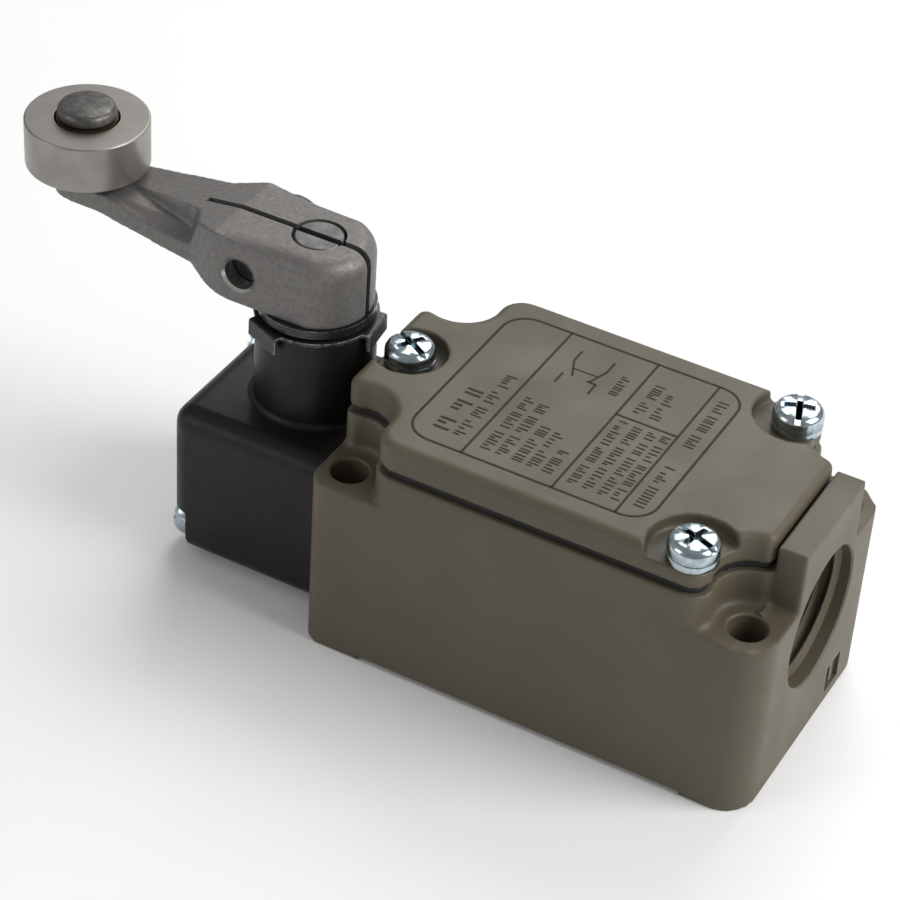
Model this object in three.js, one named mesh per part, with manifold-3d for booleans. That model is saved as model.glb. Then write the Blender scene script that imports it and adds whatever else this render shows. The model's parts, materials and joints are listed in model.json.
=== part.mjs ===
// A box-type limit switch with a roller lever, lying on its back.
// Millimetres. Z points out of the mounting face towards the cover, X runs from the operating
// head to the conduit entry, and the origin is the centre of the four mounting holes on the
// plane that the switch is screwed against.

import * as THREE from "three";
import { mergeVertices } from "three/addons/utils/BufferGeometryUtils.js";
import Module from "manifold-3d";

const wasm = await Module();
wasm.setup();

// ---------------------------------------------------------------- driving dimensions

// Base casting
const HOLE_PITCH_X = 58.7;
const HOLE_PITCH_Y = 30.2;
const HOLE_RADIUS = 2.6;
const HEAD_END_MARGIN = 4.15;
const CONDUIT_END_MARGIN = 4.65;
const SIDE_MARGIN = 4.9;
const EAR_HEIGHT = 28.0;
const RIM_HEIGHT = 33.3;
const HEAD_END_CORNER = 3.1;
const CONDUIT_END_CORNER = 4.8;
const FOOT_RELIEF = 0.8;
const FOOT_RELIEF_DEPTH = 5.0;
const FOOT_LENGTH = 9.0;
const FLOOR = 4.0;
const SIDE_WALL = 3.2;
const HEAD_END_WALL = 7.5;
const CONDUIT_WALL = 9.5;

// Notches that leave the mounting ears free of the cover
const HEAD_END_NOTCH = 5.0;
const CONDUIT_END_NOTCH = 4.9;
const END_ROUND = 1.8;
const HEAD_SIDE_ROUND = 4.0;
const CONDUIT_SIDE_ROUND = 3.0;
const NOTCH_WALL = 1.8;

// Conduit entry
const CONDUIT_RADIUS = 10.1;
const CONDUIT_CHAMFER = 0.8;
const CONDUIT_HEIGHT = 20.85;
const BLOCK_LENGTH = 4.2;
const BLOCK_HALF_WIDTH = 9.5;
const BLOCK_HEIGHT = 37.5;
const MARK_WIDTH = 4.5;
const MARK_DEPTH = 0.6;
const MARK_Y = 9.1;
const MARK_Z = 4.2;

// Cover, gasket and cover screws
const GASKET_THICKNESS = 1.2;
const GASKET_INSET = 0.9;
const GASKET_LIP = 1.0;
const COVER_THICKNESS = 4.2;
const COVER_END_GAP = 0.4;
const COVER_INSET = 0.35;
const COVER_RECESS = 1.6;
const COVER_LIP = 2.0;
const SCREW_POCKET_DEPTH = 2.0;
const SIDE_POCKET_RADIUS = 6.2;
const END_POCKET_RADIUS = 5.2;
const COVER_SCREW_FROM_END = 4.2;
const COVER_SCREW_FROM_SIDE = 3.8;
const COVER_SCREW_FROM_HOLE = 8.25;
const COVER_SCREW_RADIUS = 1.9;
const COVER_SCREW_LENGTH = 16.0;
const COVER_SCREW_BOSS_WALL = 1.6;
const COVER_SCREW_HEAD_RADIUS = 3.5;
const COVER_SCREW_HEAD_HEIGHT = 2.6;
const WASHER_THICKNESS = 1.0;
const WASHER_SPLIT = 0.5;

// Operating head
const HEAD_GASKET_THICKNESS = 0.5;
const HEAD_GASKET_INSET = 0.6;
const HEAD_LENGTH = 25.0;
const HEAD_HALF_WIDTH = 14.2;
const HEAD_BOTTOM = 1.0;
const HEAD_TOP = 25.6;
const HEAD_EDGE = 3.0;
const HEAD_FACE_TO_SHAFT = 10.1;
const CHAMBER_HALF_WIDTH = 7.0;
const CHAMBER_BOTTOM = 6.5;
const CHAMBER_TOP = 24.0;
const BOSS_RADIUS = 8.45;
const BOSS_TOP = 39.5;
const HEAD_SCREW_Y = 9.6;
const HEAD_SCREW_FROM_EDGE = 3.1;
const HEAD_SCREW_RADIUS = 1.7;
const HEAD_SCREW_BITE = 5.0;
const HEAD_SCREW_HEAD_RADIUS = 2.7;
const HEAD_SCREW_HEAD_HEIGHT = 2.4;
const HEAD_WASHER_THICKNESS = 0.8;
const HEAD_SEAT_DEPTH = 2.7;
const HEAD_SEAT_RADIUS = 3.8;

// Shaft with its seal, bearing and cam
const SHAFT_RADIUS = 3.5;
const SHAFT_PILOT_RADIUS = 2.6;
const SHAFT_PILOT_DEPTH = 2.0;
const SHAFT_SLOT_WIDTH = 0.8;
const SHAFT_SLOT_DEPTH = 1.2;
const BEARING_WALL = 1.4;
const SEAL_WALL = 2.4;
const SEAL_HEIGHT = 2.6;
const PLATE_THICKNESS = 0.5;
const PLATE_TAB_DROP = 2.6;
const PLATE_TAB_THICKNESS = 0.6;
const PLATE_TAB_HALF_ANGLE = 19;
const PLATE_TAB_ANGLES = [-118, 2, 122];
const COLLAR_HEIGHT = 1.5;
const COLLAR_RADIUS = 8.3;
const CAM_WALL = 1.2;
const CAM_FLAT_DEPTH = 0.8;
const CAM_HEIGHT = 8.0;
const RING_WALL = 1.6;
const RING_THICKNESS = 0.8;

// Operating plunger
const PLUNGER_HEIGHT = 14.1;
const PLUNGER_RADIUS = 2.5;
const PLUNGER_TRAVEL = 1.5;
const PLUNGER_COLLAR_RADIUS = 4.2;
const PLUNGER_COLLAR_LENGTH = 0.8;
const PLUNGER_REACH = 2.1;
const CAM_CLEARANCE = 0.5;
const GUIDE_LENGTH = 3.2;
const SPRING_BORE_RADIUS = 4.8;
const SPRING_SEAT = 1.3;
const PLUNGER_SPRING_RADIUS = 3.7;
const PLUNGER_SPRING_TURNS = 3;
const SPRING_WIRE_RADIUS = 0.35;

// Roller lever
const LEVER_RADIUS = 37.5;
const HUB_RADIUS = 7.9;
const HUB_HALF_WIDTH = 7.5;
const HUB_LENGTH = 12.5;
const HUB_NECK = 4.5;
const HUB_HEIGHT = 10.2;
const ARM_ROOT_HALF_WIDTH = 5.4;
const ARM_TIP_HALF_WIDTH = 4.8;
const ARM_TIP_BOTTOM = 4.4;
const ARM_ROOT_BOTTOM = 2.0;
const ARM_TIP_TOP = 7.4;
const POCKET_LENGTH = 15.0;
const POCKET_WEB = 1.2;
const SLIT_WIDTH = 0.8;
const SLIT_LENGTH = 17.8;
const BOLT_FROM_SHAFT = 8.1;
const BOLT_HEIGHT = 4.7;
const BOLT_RADIUS = 2.2;
const BOLT_HEAD_RADIUS = 4.1;
const BOLT_HEAD_HEIGHT = 4.6;
const BOLT_HEAD_SINK = 3.3;
const BOLT_END_SINK = 2.6;
const BOLT_SOCKET = 2.0;

// Roller
const ROLLER_RADIUS = 8.75;
const ROLLER_WIDTH = 7.0;
const ROLLER_WASHER_THICKNESS = 1.0;
const ROLLER_WASHER_RADIUS = 4.4;
const PIN_RADIUS = 2.4;
const PIN_HEAD_RADIUS = 4.15;
const PIN_HEAD_HEIGHT = 1.9;
const PIN_TAIL_RADIUS = 3.4;
const PIN_TAIL_HEIGHT = 1.0;
const BUSH_WALL = 1.3;

// Built-in switch
const CASE_FROM_WALL = 7.0;
const CASE_LENGTH = 32.0;
const CASE_SIDE_CLEARANCE = 1.3;
const CASE_HEIGHT = 13.0;
const CASE_WALL = 2.0;
const LID_WALL = 1.4;
const LID_HEIGHT = 7.5;
const LUG_LENGTH = 5.5;
const LUG_WIDTH = 8.0;
const LUG_HEIGHT = 4.0;
const LUG_FROM_HOLE = 9.1;
const BUTTON_RADIUS = 2.0;
const BUTTON_GAP = 0.5;
const CARRIER_HALF_WIDTH = 2.6;
const CARRIER_LENGTH = 6.8;
const CARRIER_WALL = 2.2;
const CARRIER_RISE = 4.0;
const BLADE_THICKNESS = 0.8;
const BLADE_END_GAP = 1.0;
const BLADE_HEIGHT = 1.2;
const CONTACT_FROM_CASE_END = 9.0;
const TERMINAL_THICKNESS = 1.2;
const TERMINAL_BAR = 1.4;
const TERMINAL_PAD = 6.0;
const TERMINAL_INNER_END = 4.0;
const PAD_WIDTH = 5.3;
const PAD_OUTER_MARGIN = 0.3;
const OPEN_PAD_OFFSET = 14.6;
const TERMINAL_SCREW_LENGTH = 7.0;
const SMALL_SCREW_RADIUS = 1.5;
const SMALL_SCREW_DEPTH = 2.8;
const SMALL_SCREW_HEAD_RADIUS = 2.6;
const SMALL_SCREW_HEAD_HEIGHT = 1.9;
const BUTTON_SPRING_RADIUS = 2.3;
const BUTTON_SPRING_TURNS = 5;
const GROUND_X_FROM_WALL = 5.0;
const GROUND_Y = -6.0;
const GROUND_BOSS_RADIUS = 3.6;
const GROUND_BOSS_HEIGHT = 4.0;

// Pan-head screws: the shape of the head and of the cross in it, as shares of the head's own size
const PAN_SIDE_HEIGHT = 0.55;
const PAN_CROWN_RADIUS = 0.8;
const PAN_CROWN_HEIGHT = 0.86;
const CROSS_REACH = 0.62;
const CROSS_HALF_WIDTH = 0.11;
const CROSS_DEPTH = 0.45;

// Clearances between pieces that meet
const FIT_GAP = 0.3;
const CUT_OVERRUN = 1.0;

// ---------------------------------------------------------------- positions worked out from them

const HOLE_X = HOLE_PITCH_X / 2;
const HOLE_Y = HOLE_PITCH_Y / 2;
const BASE_LEFT = -HOLE_X - HEAD_END_MARGIN;
const BASE_RIGHT = HOLE_X + CONDUIT_END_MARGIN;
const BASE_HALF_WIDTH = HOLE_Y + SIDE_MARGIN;
const BLOCK_LEFT = BASE_RIGHT - BLOCK_LENGTH;
const CAVITY_LEFT = BASE_LEFT + HEAD_END_WALL;
const CAVITY_RIGHT = BASE_RIGHT - CONDUIT_WALL;
const CAVITY_HALF_WIDTH = BASE_HALF_WIDTH - SIDE_WALL;
const COVER_BOTTOM = RIM_HEIGHT + GASKET_THICKNESS;
const COVER_TOP = COVER_BOTTOM + COVER_THICKNESS;
const POCKET_FLOOR = COVER_TOP - SCREW_POCKET_DEPTH;
const COVER_RIGHT = BLOCK_LEFT - COVER_END_GAP + COVER_INSET;
const COVER_SCREW_BOSS = COVER_SCREW_RADIUS + FIT_GAP + COVER_SCREW_BOSS_WALL;
const SIDE_SCREW_X = HOLE_X - COVER_SCREW_FROM_HOLE;
const SIDE_SCREW_Y = BASE_HALF_WIDTH - COVER_SCREW_FROM_SIDE;
const END_SCREW_X = BASE_LEFT + COVER_SCREW_FROM_END;
const COVER_SCREWS = [
  { x: END_SCREW_X, y: 0, pocket: END_POCKET_RADIUS },
  { x: SIDE_SCREW_X, y: SIDE_SCREW_Y, pocket: SIDE_POCKET_RADIUS },
  { x: SIDE_SCREW_X, y: -SIDE_SCREW_Y, pocket: SIDE_POCKET_RADIUS },
];
const NARROW_X = SIDE_SCREW_X - COVER_SCREW_BOSS;
const NARROW_HALF_WIDTH = SIDE_SCREW_Y - COVER_SCREW_BOSS;
const HEAD_RIGHT = BASE_LEFT - HEAD_GASKET_THICKNESS;
const HEAD_LEFT = HEAD_RIGHT - HEAD_LENGTH;
const SHAFT_X = HEAD_RIGHT - HEAD_FACE_TO_SHAFT;
const HEAD_SCREWS = [
  { y: -HEAD_SCREW_Y, z: HEAD_BOTTOM + HEAD_SCREW_FROM_EDGE },
  { y: HEAD_SCREW_Y, z: HEAD_TOP - HEAD_SCREW_FROM_EDGE },
];
const COLLAR_BOTTOM = BOSS_TOP + PLATE_THICKNESS + FIT_GAP;
const HUB_BOTTOM = COLLAR_BOTTOM + COLLAR_HEIGHT;
const HUB_TOP = HUB_BOTTOM + HUB_HEIGHT;
const ROLLER_BOTTOM = HUB_BOTTOM + ARM_TIP_TOP + ROLLER_WASHER_THICKNESS + FIT_GAP;
const ROLLER_TOP = ROLLER_BOTTOM + ROLLER_WIDTH;
const CAM_RADIUS = SHAFT_RADIUS + FIT_GAP + CAM_WALL;
const CAM_FLAT = CAM_RADIUS - CAM_FLAT_DEPTH;
const BEARING_RADIUS = SHAFT_RADIUS + FIT_GAP + BEARING_WALL;
const SEAL_RADIUS = SHAFT_RADIUS + FIT_GAP + SEAL_WALL;
const PLUNGER_TIP = SHAFT_X + CAM_RADIUS + CAM_CLEARANCE;
const PLUNGER_END = CAVITY_LEFT + PLUNGER_REACH;
const COLLAR_LEFT = BASE_LEFT + FIT_GAP;
const BUTTON_TIP = PLUNGER_END + BUTTON_GAP;
const CASE_LEFT = CAVITY_LEFT + CASE_FROM_WALL;
const CASE_RIGHT = CASE_LEFT + CASE_LENGTH;
const CASE_HALF_WIDTH = CAVITY_HALF_WIDTH - CASE_SIDE_CLEARANCE;
const CASE_TOP = FLOOR + CASE_HEIGHT;
const CLOSED_BAR_LEFT = CASE_LEFT + CONTACT_FROM_CASE_END;
const BLADE_LEFT = CLOSED_BAR_LEFT + TERMINAL_BAR + FIT_GAP;
const OPEN_BAR_LEFT = BLADE_LEFT + BLADE_THICKNESS + PLUNGER_TRAVEL + FIT_GAP;
const CARRIER_LEFT = BLADE_LEFT - CARRIER_WALL;
const CARRIER_TOP = CASE_TOP + CARRIER_RISE;
const LUG_Y = HOLE_Y - LUG_FROM_HOLE;
const TERMINAL_MIDDLE = CASE_TOP + TERMINAL_THICKNESS / 2;
const PAD_OUTER_Y = CASE_HALF_WIDTH - PAD_OUTER_MARGIN;
const PAD_INNER_Y = PAD_OUTER_Y - PAD_WIDTH;
const PAD_SCREW_Y = (PAD_INNER_Y + PAD_OUTER_Y) / 2;
const CHAMBER_Y = PAD_INNER_Y - FIT_GAP - LID_WALL;
const BLADE_HALF_LENGTH = CHAMBER_Y - BLADE_END_GAP;
const CLOSED_PAD_LEFT = CLOSED_BAR_LEFT + TERMINAL_BAR - TERMINAL_PAD;
const OPEN_PAD_LEFT = OPEN_BAR_LEFT + OPEN_PAD_OFFSET - TERMINAL_PAD;
const SWITCH_SCREWS = [
  { x: CASE_LEFT - LUG_LENGTH / 2, y: -LUG_Y },
  { x: CASE_RIGHT + LUG_LENGTH / 2, y: LUG_Y },
];
const GROUND_X = CAVITY_RIGHT - GROUND_X_FROM_WALL;

// ---------------------------------------------------------------- materials

function finish(colour, roughness, metalness) {
  return () => new THREE.MeshStandardMaterial({ color: colour, roughness, metalness });
}

const paintedCasting = finish(0x857c6b, 0.55, 0.0);
const blackCasting = finish(0x1c1b1a, 0.4, 0.1);
const blackSteel = finish(0x222222, 0.45, 0.6);
const rubber = finish(0x151515, 0.85, 0.0);
const zincSteel = finish(0xb9bfc4, 0.3, 0.95);
const rawCasting = finish(0x8c8884, 0.6, 0.75);
const machinedSteel = finish(0x9b978f, 0.28, 0.95);
const darkSteel = finish(0x6d6a66, 0.4, 0.9);
const bronze = finish(0x9a7442, 0.5, 0.85);
const brass = finish(0xc2a050, 0.35, 0.9);
const springSteel = finish(0xa5a5a2, 0.3, 0.95);
const phenolic = finish(0x2a211c, 0.6, 0.0);
const whiteResin = finish(0xd8d4c8, 0.5, 0.0);
const silver = finish(0xd9d9d6, 0.25, 1.0);

// ---------------------------------------------------------------- solids

// Turns a closed geometry into a solid for cutting and joining.
function solid(geometry) {
  const bare = geometry.clone();
  bare.deleteAttribute("normal");
  bare.deleteAttribute("uv");
  const merged = mergeVertices(bare, 1e-5);
  const index = merged.index.array;
  const triangles = [];
  for (let i = 0; i < index.length; i += 3) {
    const [a, b, c] = [index[i], index[i + 1], index[i + 2]];
    if (a !== b && b !== c && c !== a) triangles.push(a, b, c);
  }
  const vertProperties = new Float32Array(merged.attributes.position.array);
  const triVerts = new Uint32Array(triangles);
  return new wasm.Manifold(new wasm.Mesh({ numProp: 3, vertProperties, triVerts }));
}

function toGeometry(body) {
  const mesh = body.getMesh();
  const geometry = new THREE.BufferGeometry();
  geometry.setAttribute("position", new THREE.BufferAttribute(new Float32Array(mesh.vertProperties), 3));
  geometry.setIndex(new THREE.BufferAttribute(new Uint32Array(mesh.triVerts), 1));
  geometry.computeVertexNormals();
  return geometry;
}

function box(x0, x1, y0, y1, z0, z1) {
  const geometry = new THREE.BoxGeometry(x1 - x0, y1 - y0, z1 - z0);
  geometry.translate((x0 + x1) / 2, (y0 + y1) / 2, (z0 + z1) / 2);
  return solid(geometry);
}

// A cylinder along Z over the span z0 to z1.
function postZ(x, y, radius, z0, z1, sides = 24) {
  const geometry = new THREE.CylinderGeometry(radius, radius, z1 - z0, sides);
  geometry.rotateX(Math.PI / 2);
  geometry.translate(x, y, (z0 + z1) / 2);
  return solid(geometry);
}

// A cylinder along X over the span x0 to x1.
function rodX(y, z, radius, x0, x1, sides = 24) {
  const geometry = new THREE.CylinderGeometry(radius, radius, x1 - x0, sides);
  geometry.rotateZ(Math.PI / 2);
  geometry.translate((x0 + x1) / 2, y, z);
  return solid(geometry);
}

// A cylinder along Y over the span y0 to y1.
function rodY(x, z, radius, y0, y1, sides = 20) {
  const geometry = new THREE.CylinderGeometry(radius, radius, y1 - y0, sides);
  geometry.translate(x, (y0 + y1) / 2, z);
  return solid(geometry);
}

// A flat outline in the XY plane, drawn upwards from z0 to z1.
function slab(points, z0, z1) {
  const shape = new THREE.Shape(points);
  const geometry = new THREE.ExtrudeGeometry(shape, { depth: z1 - z0, bevelEnabled: false });
  geometry.translate(0, 0, z0);
  return solid(geometry);
}

// An outline in the XZ plane, drawn across Y between -halfWidth and halfWidth.
function sideSlab(points, halfWidth) {
  const shape = new THREE.Shape(points);
  const geometry = new THREE.ExtrudeGeometry(shape, { depth: 2 * halfWidth, bevelEnabled: false });
  geometry.rotateX(Math.PI / 2);
  geometry.translate(0, halfWidth, 0);
  return solid(geometry);
}

// An outline in the YZ plane, drawn along X between x0 and x1.
function endSlab(points, x0, x1) {
  const shape = new THREE.Shape(points);
  const geometry = new THREE.ExtrudeGeometry(shape, { depth: x1 - x0, bevelEnabled: false });
  const yAxis = new THREE.Vector3(0, 1, 0);
  const zAxis = new THREE.Vector3(0, 0, 1);
  const xAxis = new THREE.Vector3(1, 0, 0);
  geometry.applyMatrix4(new THREE.Matrix4().makeBasis(yAxis, zAxis, xAxis));
  geometry.translate(x0, 0, 0);
  return solid(geometry);
}

// A body of revolution about Z, from [radius, z] pairs that start and end on the axis.
function turned(pairs, sides = 24) {
  const points = pairs.map(([radius, z]) => new THREE.Vector2(radius, z));
  const geometry = new THREE.LatheGeometry(points, sides);
  geometry.rotateX(Math.PI / 2);
  return solid(geometry);
}

function point(x, y) {
  return new THREE.Vector2(x, y);
}

// Points along the shorter arc between two directions.
function arc(cx, cy, radius, from, to, steps) {
  const turn = Math.atan2(Math.sin(to - from), Math.cos(to - from));
  return Array.from({ length: steps + 1 }, (_, i) => {
    const angle = from + (turn * i) / steps;
    return point(cx + radius * Math.cos(angle), cy + radius * Math.sin(angle));
  });
}

// A closed regular outline about the origin.
function ring(radius, sides) {
  return Array.from({ length: sides }, (_, i) => {
    const angle = (2 * Math.PI * i) / sides;
    return point(radius * Math.cos(angle), radius * Math.sin(angle));
  });
}

function bearing(from, to) {
  return Math.atan2(to.y - from.y, to.x - from.x);
}

// A rectangle in plan whose corners have one radius at each end.
function roundedPlan(left, right, halfWidth, leftRadius, rightRadius) {
  const quarter = Math.PI / 2;
  return [
    ...arc(right - rightRadius, halfWidth - rightRadius, rightRadius, 0, quarter, 8),
    ...arc(left + leftRadius, halfWidth - leftRadius, leftRadius, quarter, 2 * quarter, 6),
    ...arc(left + leftRadius, leftRadius - halfWidth, leftRadius, 2 * quarter, -quarter, 6),
    ...arc(right - rightRadius, rightRadius - halfWidth, rightRadius, -quarter, 0, 8),
  ];
}

// The plan that the cover, gasket and upper rim share: a rectangle with a round notch about
// each mounting hole, and convex rounds where the notch meets the end and the side.
function notchedPlan(right, inset) {
  const halfWidth = BASE_HALF_WIDTH - inset;
  const corners = [[1, 1], [-1, 1], [-1, -1], [1, -1]];
  return corners.flatMap(([sx, sy]) => {
    const hole = { x: sx * HOLE_X, y: sy * HOLE_Y };
    const notch = (sx > 0 ? CONDUIT_END_NOTCH : HEAD_END_NOTCH) + inset;
    const endRound = END_ROUND - inset;
    const sideRound = (sx > 0 ? CONDUIT_SIDE_ROUND : HEAD_SIDE_ROUND) - inset;
    const endX = (sx > 0 ? right - inset : BASE_LEFT + inset) - sx * endRound;
    const endRise = Math.sqrt((notch + endRound) ** 2 - (endX - hole.x) ** 2);
    const end = { x: endX, y: hole.y - sy * endRise };
    const sideY = sy * (halfWidth - sideRound);
    const sideRun = Math.sqrt((notch + sideRound) ** 2 - (sideY - hole.y) ** 2);
    const side = { x: hole.x - sx * sideRun, y: sideY };
    const run = [
      ...arc(end.x, end.y, endRound, sx > 0 ? 0 : Math.PI, bearing(end, hole), 5),
      ...arc(hole.x, hole.y, notch, bearing(hole, end), bearing(hole, side), 8).slice(1, -1),
      ...arc(side.x, side.y, sideRound, bearing(side, hole), (sy * Math.PI) / 2, 6),
    ];
    return sx * sy > 0 ? run : run.reverse();
  });
}

// ---------------------------------------------------------------- fasteners

// A pan-head screw with its shank down -Z and the underside of its head at z = 0.
function panScrew(radius, length, headRadius, headHeight) {
  const body = turned([
    [0, -length],
    [radius, -length],
    [radius, 0],
    [headRadius, 0],
    [headRadius, headHeight * PAN_SIDE_HEIGHT],
    [headRadius * PAN_CROWN_RADIUS, headHeight * PAN_CROWN_HEIGHT],
    [0, headHeight],
  ], 16);
  const arm = headRadius * CROSS_REACH;
  const slot = headRadius * CROSS_HALF_WIDTH;
  const depth = headHeight * CROSS_DEPTH;
  const across = box(-arm, arm, -slot, slot, headHeight - depth, headHeight + CUT_OVERRUN);
  const along = box(-slot, slot, -arm, arm, headHeight - depth, headHeight + CUT_OVERRUN);
  return body.subtract(across).subtract(along);
}

// A split spring washer lying on z = 0.
function splitWasher(bore, outer, thickness) {
  const halfSplit = Math.asin(WASHER_SPLIT / 2 / outer);
  const shape = new THREE.Shape();
  shape.absarc(0, 0, outer, halfSplit, 2 * Math.PI - halfSplit, false);
  shape.absarc(0, 0, bore, 2 * Math.PI - halfSplit, halfSplit, true);
  const options = { depth: thickness, bevelEnabled: false, curveSegments: 14 };
  return solid(new THREE.ExtrudeGeometry(shape, options));
}

// A compression spring along +X that starts at x = 0.
function coilSpring(meanRadius, wireRadius, length, turns) {
  class Helix extends THREE.Curve {
    getPoint(t) {
      const angle = 2 * Math.PI * turns * t;
      const x = wireRadius + t * (length - 2 * wireRadius);
      return new THREE.Vector3(x, meanRadius * Math.cos(angle), meanRadius * Math.sin(angle));
    }
  }
  const section = new THREE.Shape(ring(wireRadius, 5));
  const options = { steps: turns * 10, bevelEnabled: false, extrudePath: new Helix() };
  return solid(new THREE.ExtrudeGeometry(section, options));
}

// ---------------------------------------------------------------- housing

function baseCasting() {
  const corners = [-1, 1].flatMap((sx) => [-1, 1].map((sy) => ({ x: sx * HOLE_X, y: sy * HOLE_Y })));
  const lowerPlan = roundedPlan(BASE_LEFT, BASE_RIGHT, BASE_HALF_WIDTH, HEAD_END_CORNER, CONDUIT_END_CORNER);
  let body = slab(lowerPlan, 0, EAR_HEIGHT).add(slab(notchedPlan(BLOCK_LEFT, 0), 0, RIM_HEIGHT));
  body = body.add(box(BLOCK_LEFT, BASE_RIGHT, -BLOCK_HALF_WIDTH, BLOCK_HALF_WIDTH, FLOOR, BLOCK_HEIGHT));
  body = body.subtract(cavity());
  for (const { x, y } of COVER_SCREWS) {
    const depth = POCKET_FLOOR - COVER_SCREW_LENGTH;
    body = body.subtract(postZ(x, y, COVER_SCREW_RADIUS + FIT_GAP, depth, RIM_HEIGHT + CUT_OVERRUN, 16));
  }
  for (const { x, y } of corners) {
    body = body.subtract(postZ(x, y, HOLE_RADIUS, -CUT_OVERRUN, EAR_HEIGHT + CUT_OVERRUN));
  }
  body = body.subtract(conduitBore()).subtract(plungerPassage()).subtract(castMark());
  for (const sy of [-1, 1]) {
    body = body.subtract(footRelief(sy));
  }
  for (const { y, z } of HEAD_SCREWS) {
    const tip = BASE_LEFT + HEAD_SCREW_BITE + FIT_GAP;
    body = body.subtract(rodX(y, z, HEAD_SCREW_RADIUS + FIT_GAP, BASE_LEFT - CUT_OVERRUN, tip, 16));
  }
  const groundBoss = postZ(GROUND_X, GROUND_Y, GROUND_BOSS_RADIUS, FLOOR / 2, FLOOR + GROUND_BOSS_HEIGHT);
  body = body.add(groundBoss);
  for (const { x, y, top } of floorScrews()) {
    const radius = SMALL_SCREW_RADIUS + FIT_GAP;
    body = body.subtract(postZ(x, y, radius, top - SMALL_SCREW_DEPTH, top + CUT_OVERRUN, 14));
  }
  return body;
}

// The tapped holes in the floor: two for the built-in switch and one in the ground boss.
function floorScrews() {
  const feet = SWITCH_SCREWS.map(({ x, y }) => ({ x, y, top: FLOOR }));
  return [...feet, { x: GROUND_X, y: GROUND_Y, top: FLOOR + GROUND_BOSS_HEIGHT }];
}

// The space for the built-in switch, narrower beside the two side cover screws.
function cavity() {
  const top = RIM_HEIGHT + CUT_OVERRUN;
  const wide = box(CAVITY_LEFT, NARROW_X, -CAVITY_HALF_WIDTH, CAVITY_HALF_WIDTH, FLOOR, top);
  const narrow = box(NARROW_X - CUT_OVERRUN, CAVITY_RIGHT, -NARROW_HALF_WIDTH, NARROW_HALF_WIDTH, FLOOR, top);
  return wide.add(narrow).subtract(notchPillars(NOTCH_WALL));
}

// Material kept inside the notches around the two mounting holes beside the operating head.
function notchPillars(wall) {
  const radius = HEAD_END_NOTCH + wall;
  const near = postZ(-HOLE_X, -HOLE_Y, radius, 0, COVER_TOP, 32);
  const far = postZ(-HOLE_X, HOLE_Y, radius, 0, COVER_TOP, 32);
  return near.add(far);
}

function conduitBore() {
  const [x0, x1] = [CAVITY_RIGHT - CUT_OVERRUN, BASE_RIGHT + CUT_OVERRUN];
  const bore = rodX(0, CONDUIT_HEIGHT, CONDUIT_RADIUS, x0, x1, 48);
  const flare = new THREE.CylinderGeometry(
    CONDUIT_RADIUS + 2 * CONDUIT_CHAMFER,
    CONDUIT_RADIUS,
    2 * CONDUIT_CHAMFER,
    48,
  );
  flare.rotateZ(-Math.PI / 2);
  flare.translate(BASE_RIGHT, 0, CONDUIT_HEIGHT);
  return bore.add(solid(flare));
}

// The bore that the plunger and its spring sit in, with a smaller hole at its end.
function plungerPassage() {
  const seat = CAVITY_LEFT - SPRING_SEAT;
  const bore = rodX(0, PLUNGER_HEIGHT, SPRING_BORE_RADIUS, BASE_LEFT - CUT_OVERRUN, seat);
  const radius = PLUNGER_RADIUS + FIT_GAP;
  const hole = rodX(0, PLUNGER_HEIGHT, radius, seat - CUT_OVERRUN, CAVITY_LEFT + CUT_OVERRUN);
  return bore.add(hole);
}

function castMark() {
  const half = MARK_WIDTH / 2;
  const inner = BASE_RIGHT - MARK_DEPTH;
  return box(inner, BASE_RIGHT + CUT_OVERRUN, MARK_Y - half, MARK_Y + half, MARK_Z - half, MARK_Z + half);
}

// The long step that leaves the casting standing on its two ends and its middle.
function footRelief(side) {
  const outer = side * (BASE_HALF_WIDTH + CUT_OVERRUN);
  const inner = side * (BASE_HALF_WIDTH - FOOT_RELIEF_DEPTH);
  const [y0, y1] = [Math.min(outer, inner), Math.max(outer, inner)];
  return box(BASE_LEFT + FOOT_LENGTH, BASE_RIGHT - FOOT_LENGTH, y0, y1, -CUT_OVERRUN, FOOT_RELIEF);
}

function coverGasket() {
  let sheet = slab(notchedPlan(COVER_RIGHT, GASKET_INSET), RIM_HEIGHT, COVER_BOTTOM);
  const top = COVER_BOTTOM + CUT_OVERRUN;
  const bottom = RIM_HEIGHT - CUT_OVERRUN;
  const width = CAVITY_HALF_WIDTH - GASKET_LIP;
  const window = NARROW_HALF_WIDTH - GASKET_LIP;
  const opening = box(CAVITY_LEFT + GASKET_LIP, NARROW_X - GASKET_LIP, -width, width, bottom, top);
  sheet = sheet.subtract(opening.subtract(notchPillars(GASKET_INSET + NOTCH_WALL)));
  sheet = sheet.subtract(box(0, CAVITY_RIGHT - GASKET_LIP, -window, window, bottom, top));
  for (const { x, y } of COVER_SCREWS) {
    sheet = sheet.subtract(postZ(x, y, COVER_SCREW_RADIUS + FIT_GAP, bottom, top, 16));
  }
  return sheet;
}

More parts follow.
